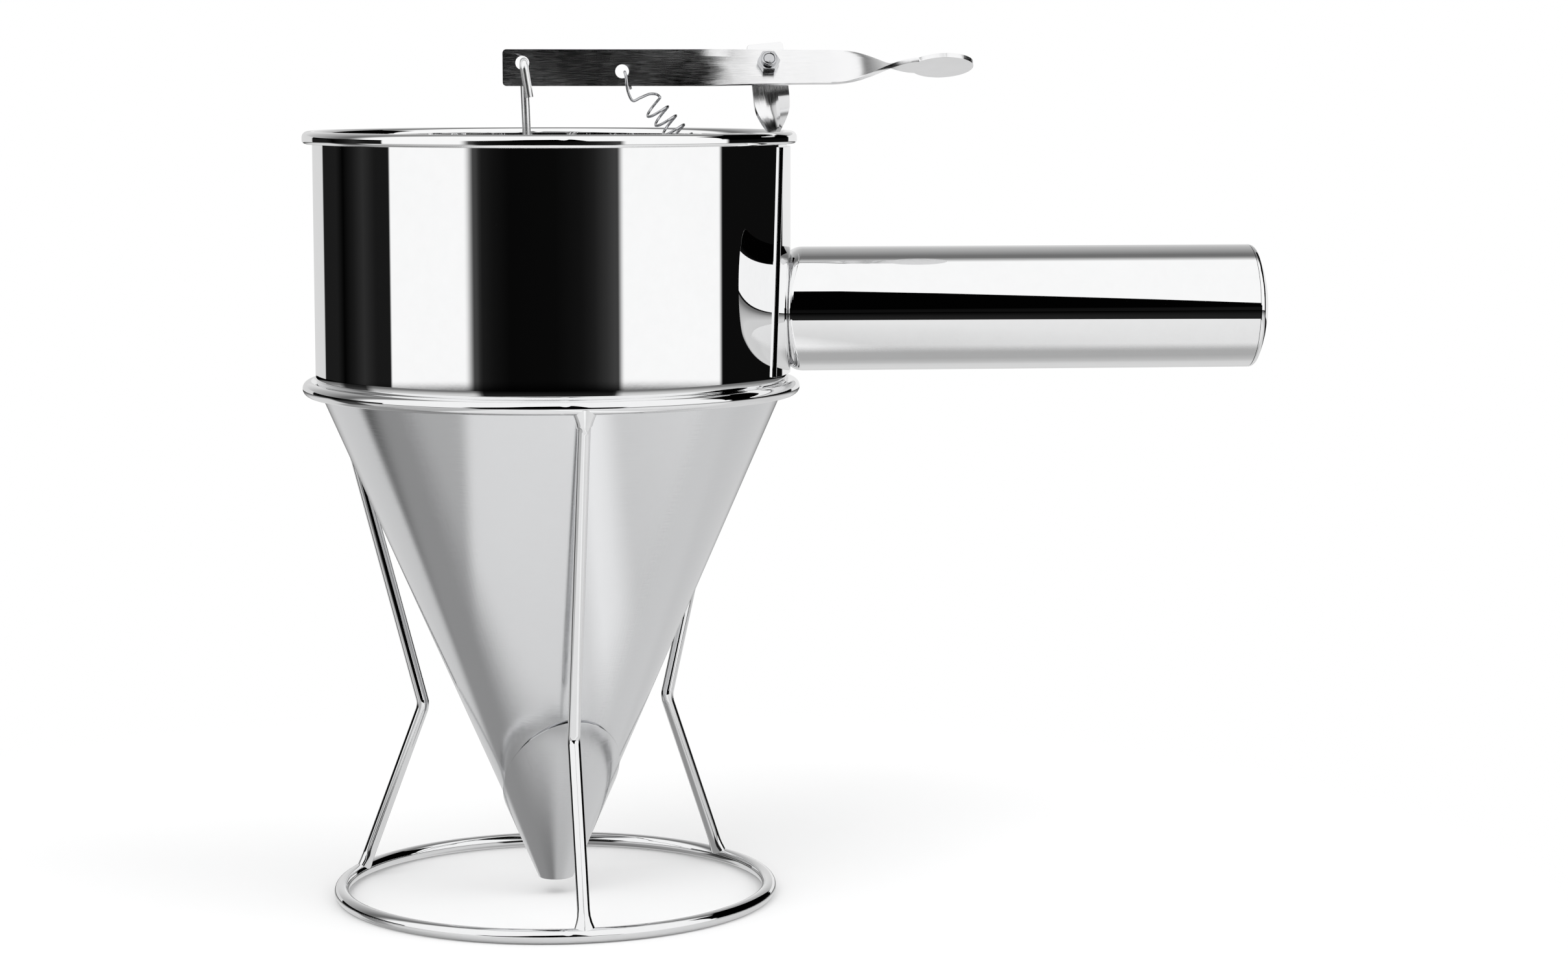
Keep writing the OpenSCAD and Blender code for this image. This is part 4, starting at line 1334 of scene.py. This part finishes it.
# Painted light and shadow on the table, seen only by polished steel: level from left to right, in
# millimetres, and how far that shifts with depth
PAINTED_TABLE_SHADE = (
    (-300, 0.43), (-115, 0.43), (-97, 0.75), (60, 0.75), (80, 0.92), (100, 0.86), (125, 0.64),
    (190, 0.68), (225, 0.7), (300, 0.7),
)
TABLE_SLANT = -0.22
# Line behind which polished steel sees no table, in millimetres from the axis
TABLE_END = (-75, -10)


# ---- add-on ----

GROUPS = (
    ("funnel_sizes", FunnelSizes), ("handle_sizes", HandleSizes), ("lever_sizes", LeverSizes),
    ("stand_sizes", StandSizes), ("funnel_finishes", SteelFinishes), ("funnel_stage", StageLook),
)
OPERATORS = (
    FUNNEL_OT_rings, FUNNEL_OT_legs, FUNNEL_OT_bowl, FUNNEL_OT_cone, FUNNEL_OT_nozzle,
    FUNNEL_OT_saddle, FUNNEL_OT_handle, FUNNEL_OT_handle_weld, FUNNEL_OT_end_cap,
    FUNNEL_OT_bracket, FUNNEL_OT_pivot, FUNNEL_OT_lever, FUNNEL_OT_rod, FUNNEL_OT_plug,
    FUNNEL_OT_spring, FUNNEL_OT_stage,
)


class FUNNEL_PT_pieces(bpy.types.Panel):
    """Lists the operators and the sizes that they use"""

    bl_label = "Batter Funnel"
    bl_idname = "FUNNEL_PT_pieces"
    bl_space_type = "VIEW_3D"
    bl_region_type = "UI"
    bl_category = "Batter Funnel"

    def draw(self, context):
        for maker in OPERATORS:
            self.layout.operator(maker.bl_idname)
        for key, group in GROUPS:
            box = self.layout.box()
            for name in group.__annotations__:
                box.prop(getattr(context.scene, key), name)


def register():
    """Registers the property groups, the operators and the panel."""
    for key, group in GROUPS:
        bpy.utils.register_class(group)
        setattr(bpy.types.Scene, key, PointerProperty(type=group))
    for maker in (*OPERATORS, FUNNEL_PT_pieces):
        bpy.utils.register_class(maker)


def unregister():
    """Takes them away again."""
    for maker in reversed((*OPERATORS, FUNNEL_PT_pieces)):
        bpy.utils.unregister_class(maker)
    for key, group in reversed(GROUPS):
        delattr(bpy.types.Scene, key)
        bpy.utils.unregister_class(group)


def main():
    """Makes every piece and the stage."""
    register()
    for maker in OPERATORS:
        group, name = maker.bl_idname.split(".")
        getattr(getattr(bpy.ops, group), name)()


if __name__ == "__main__":
    main()
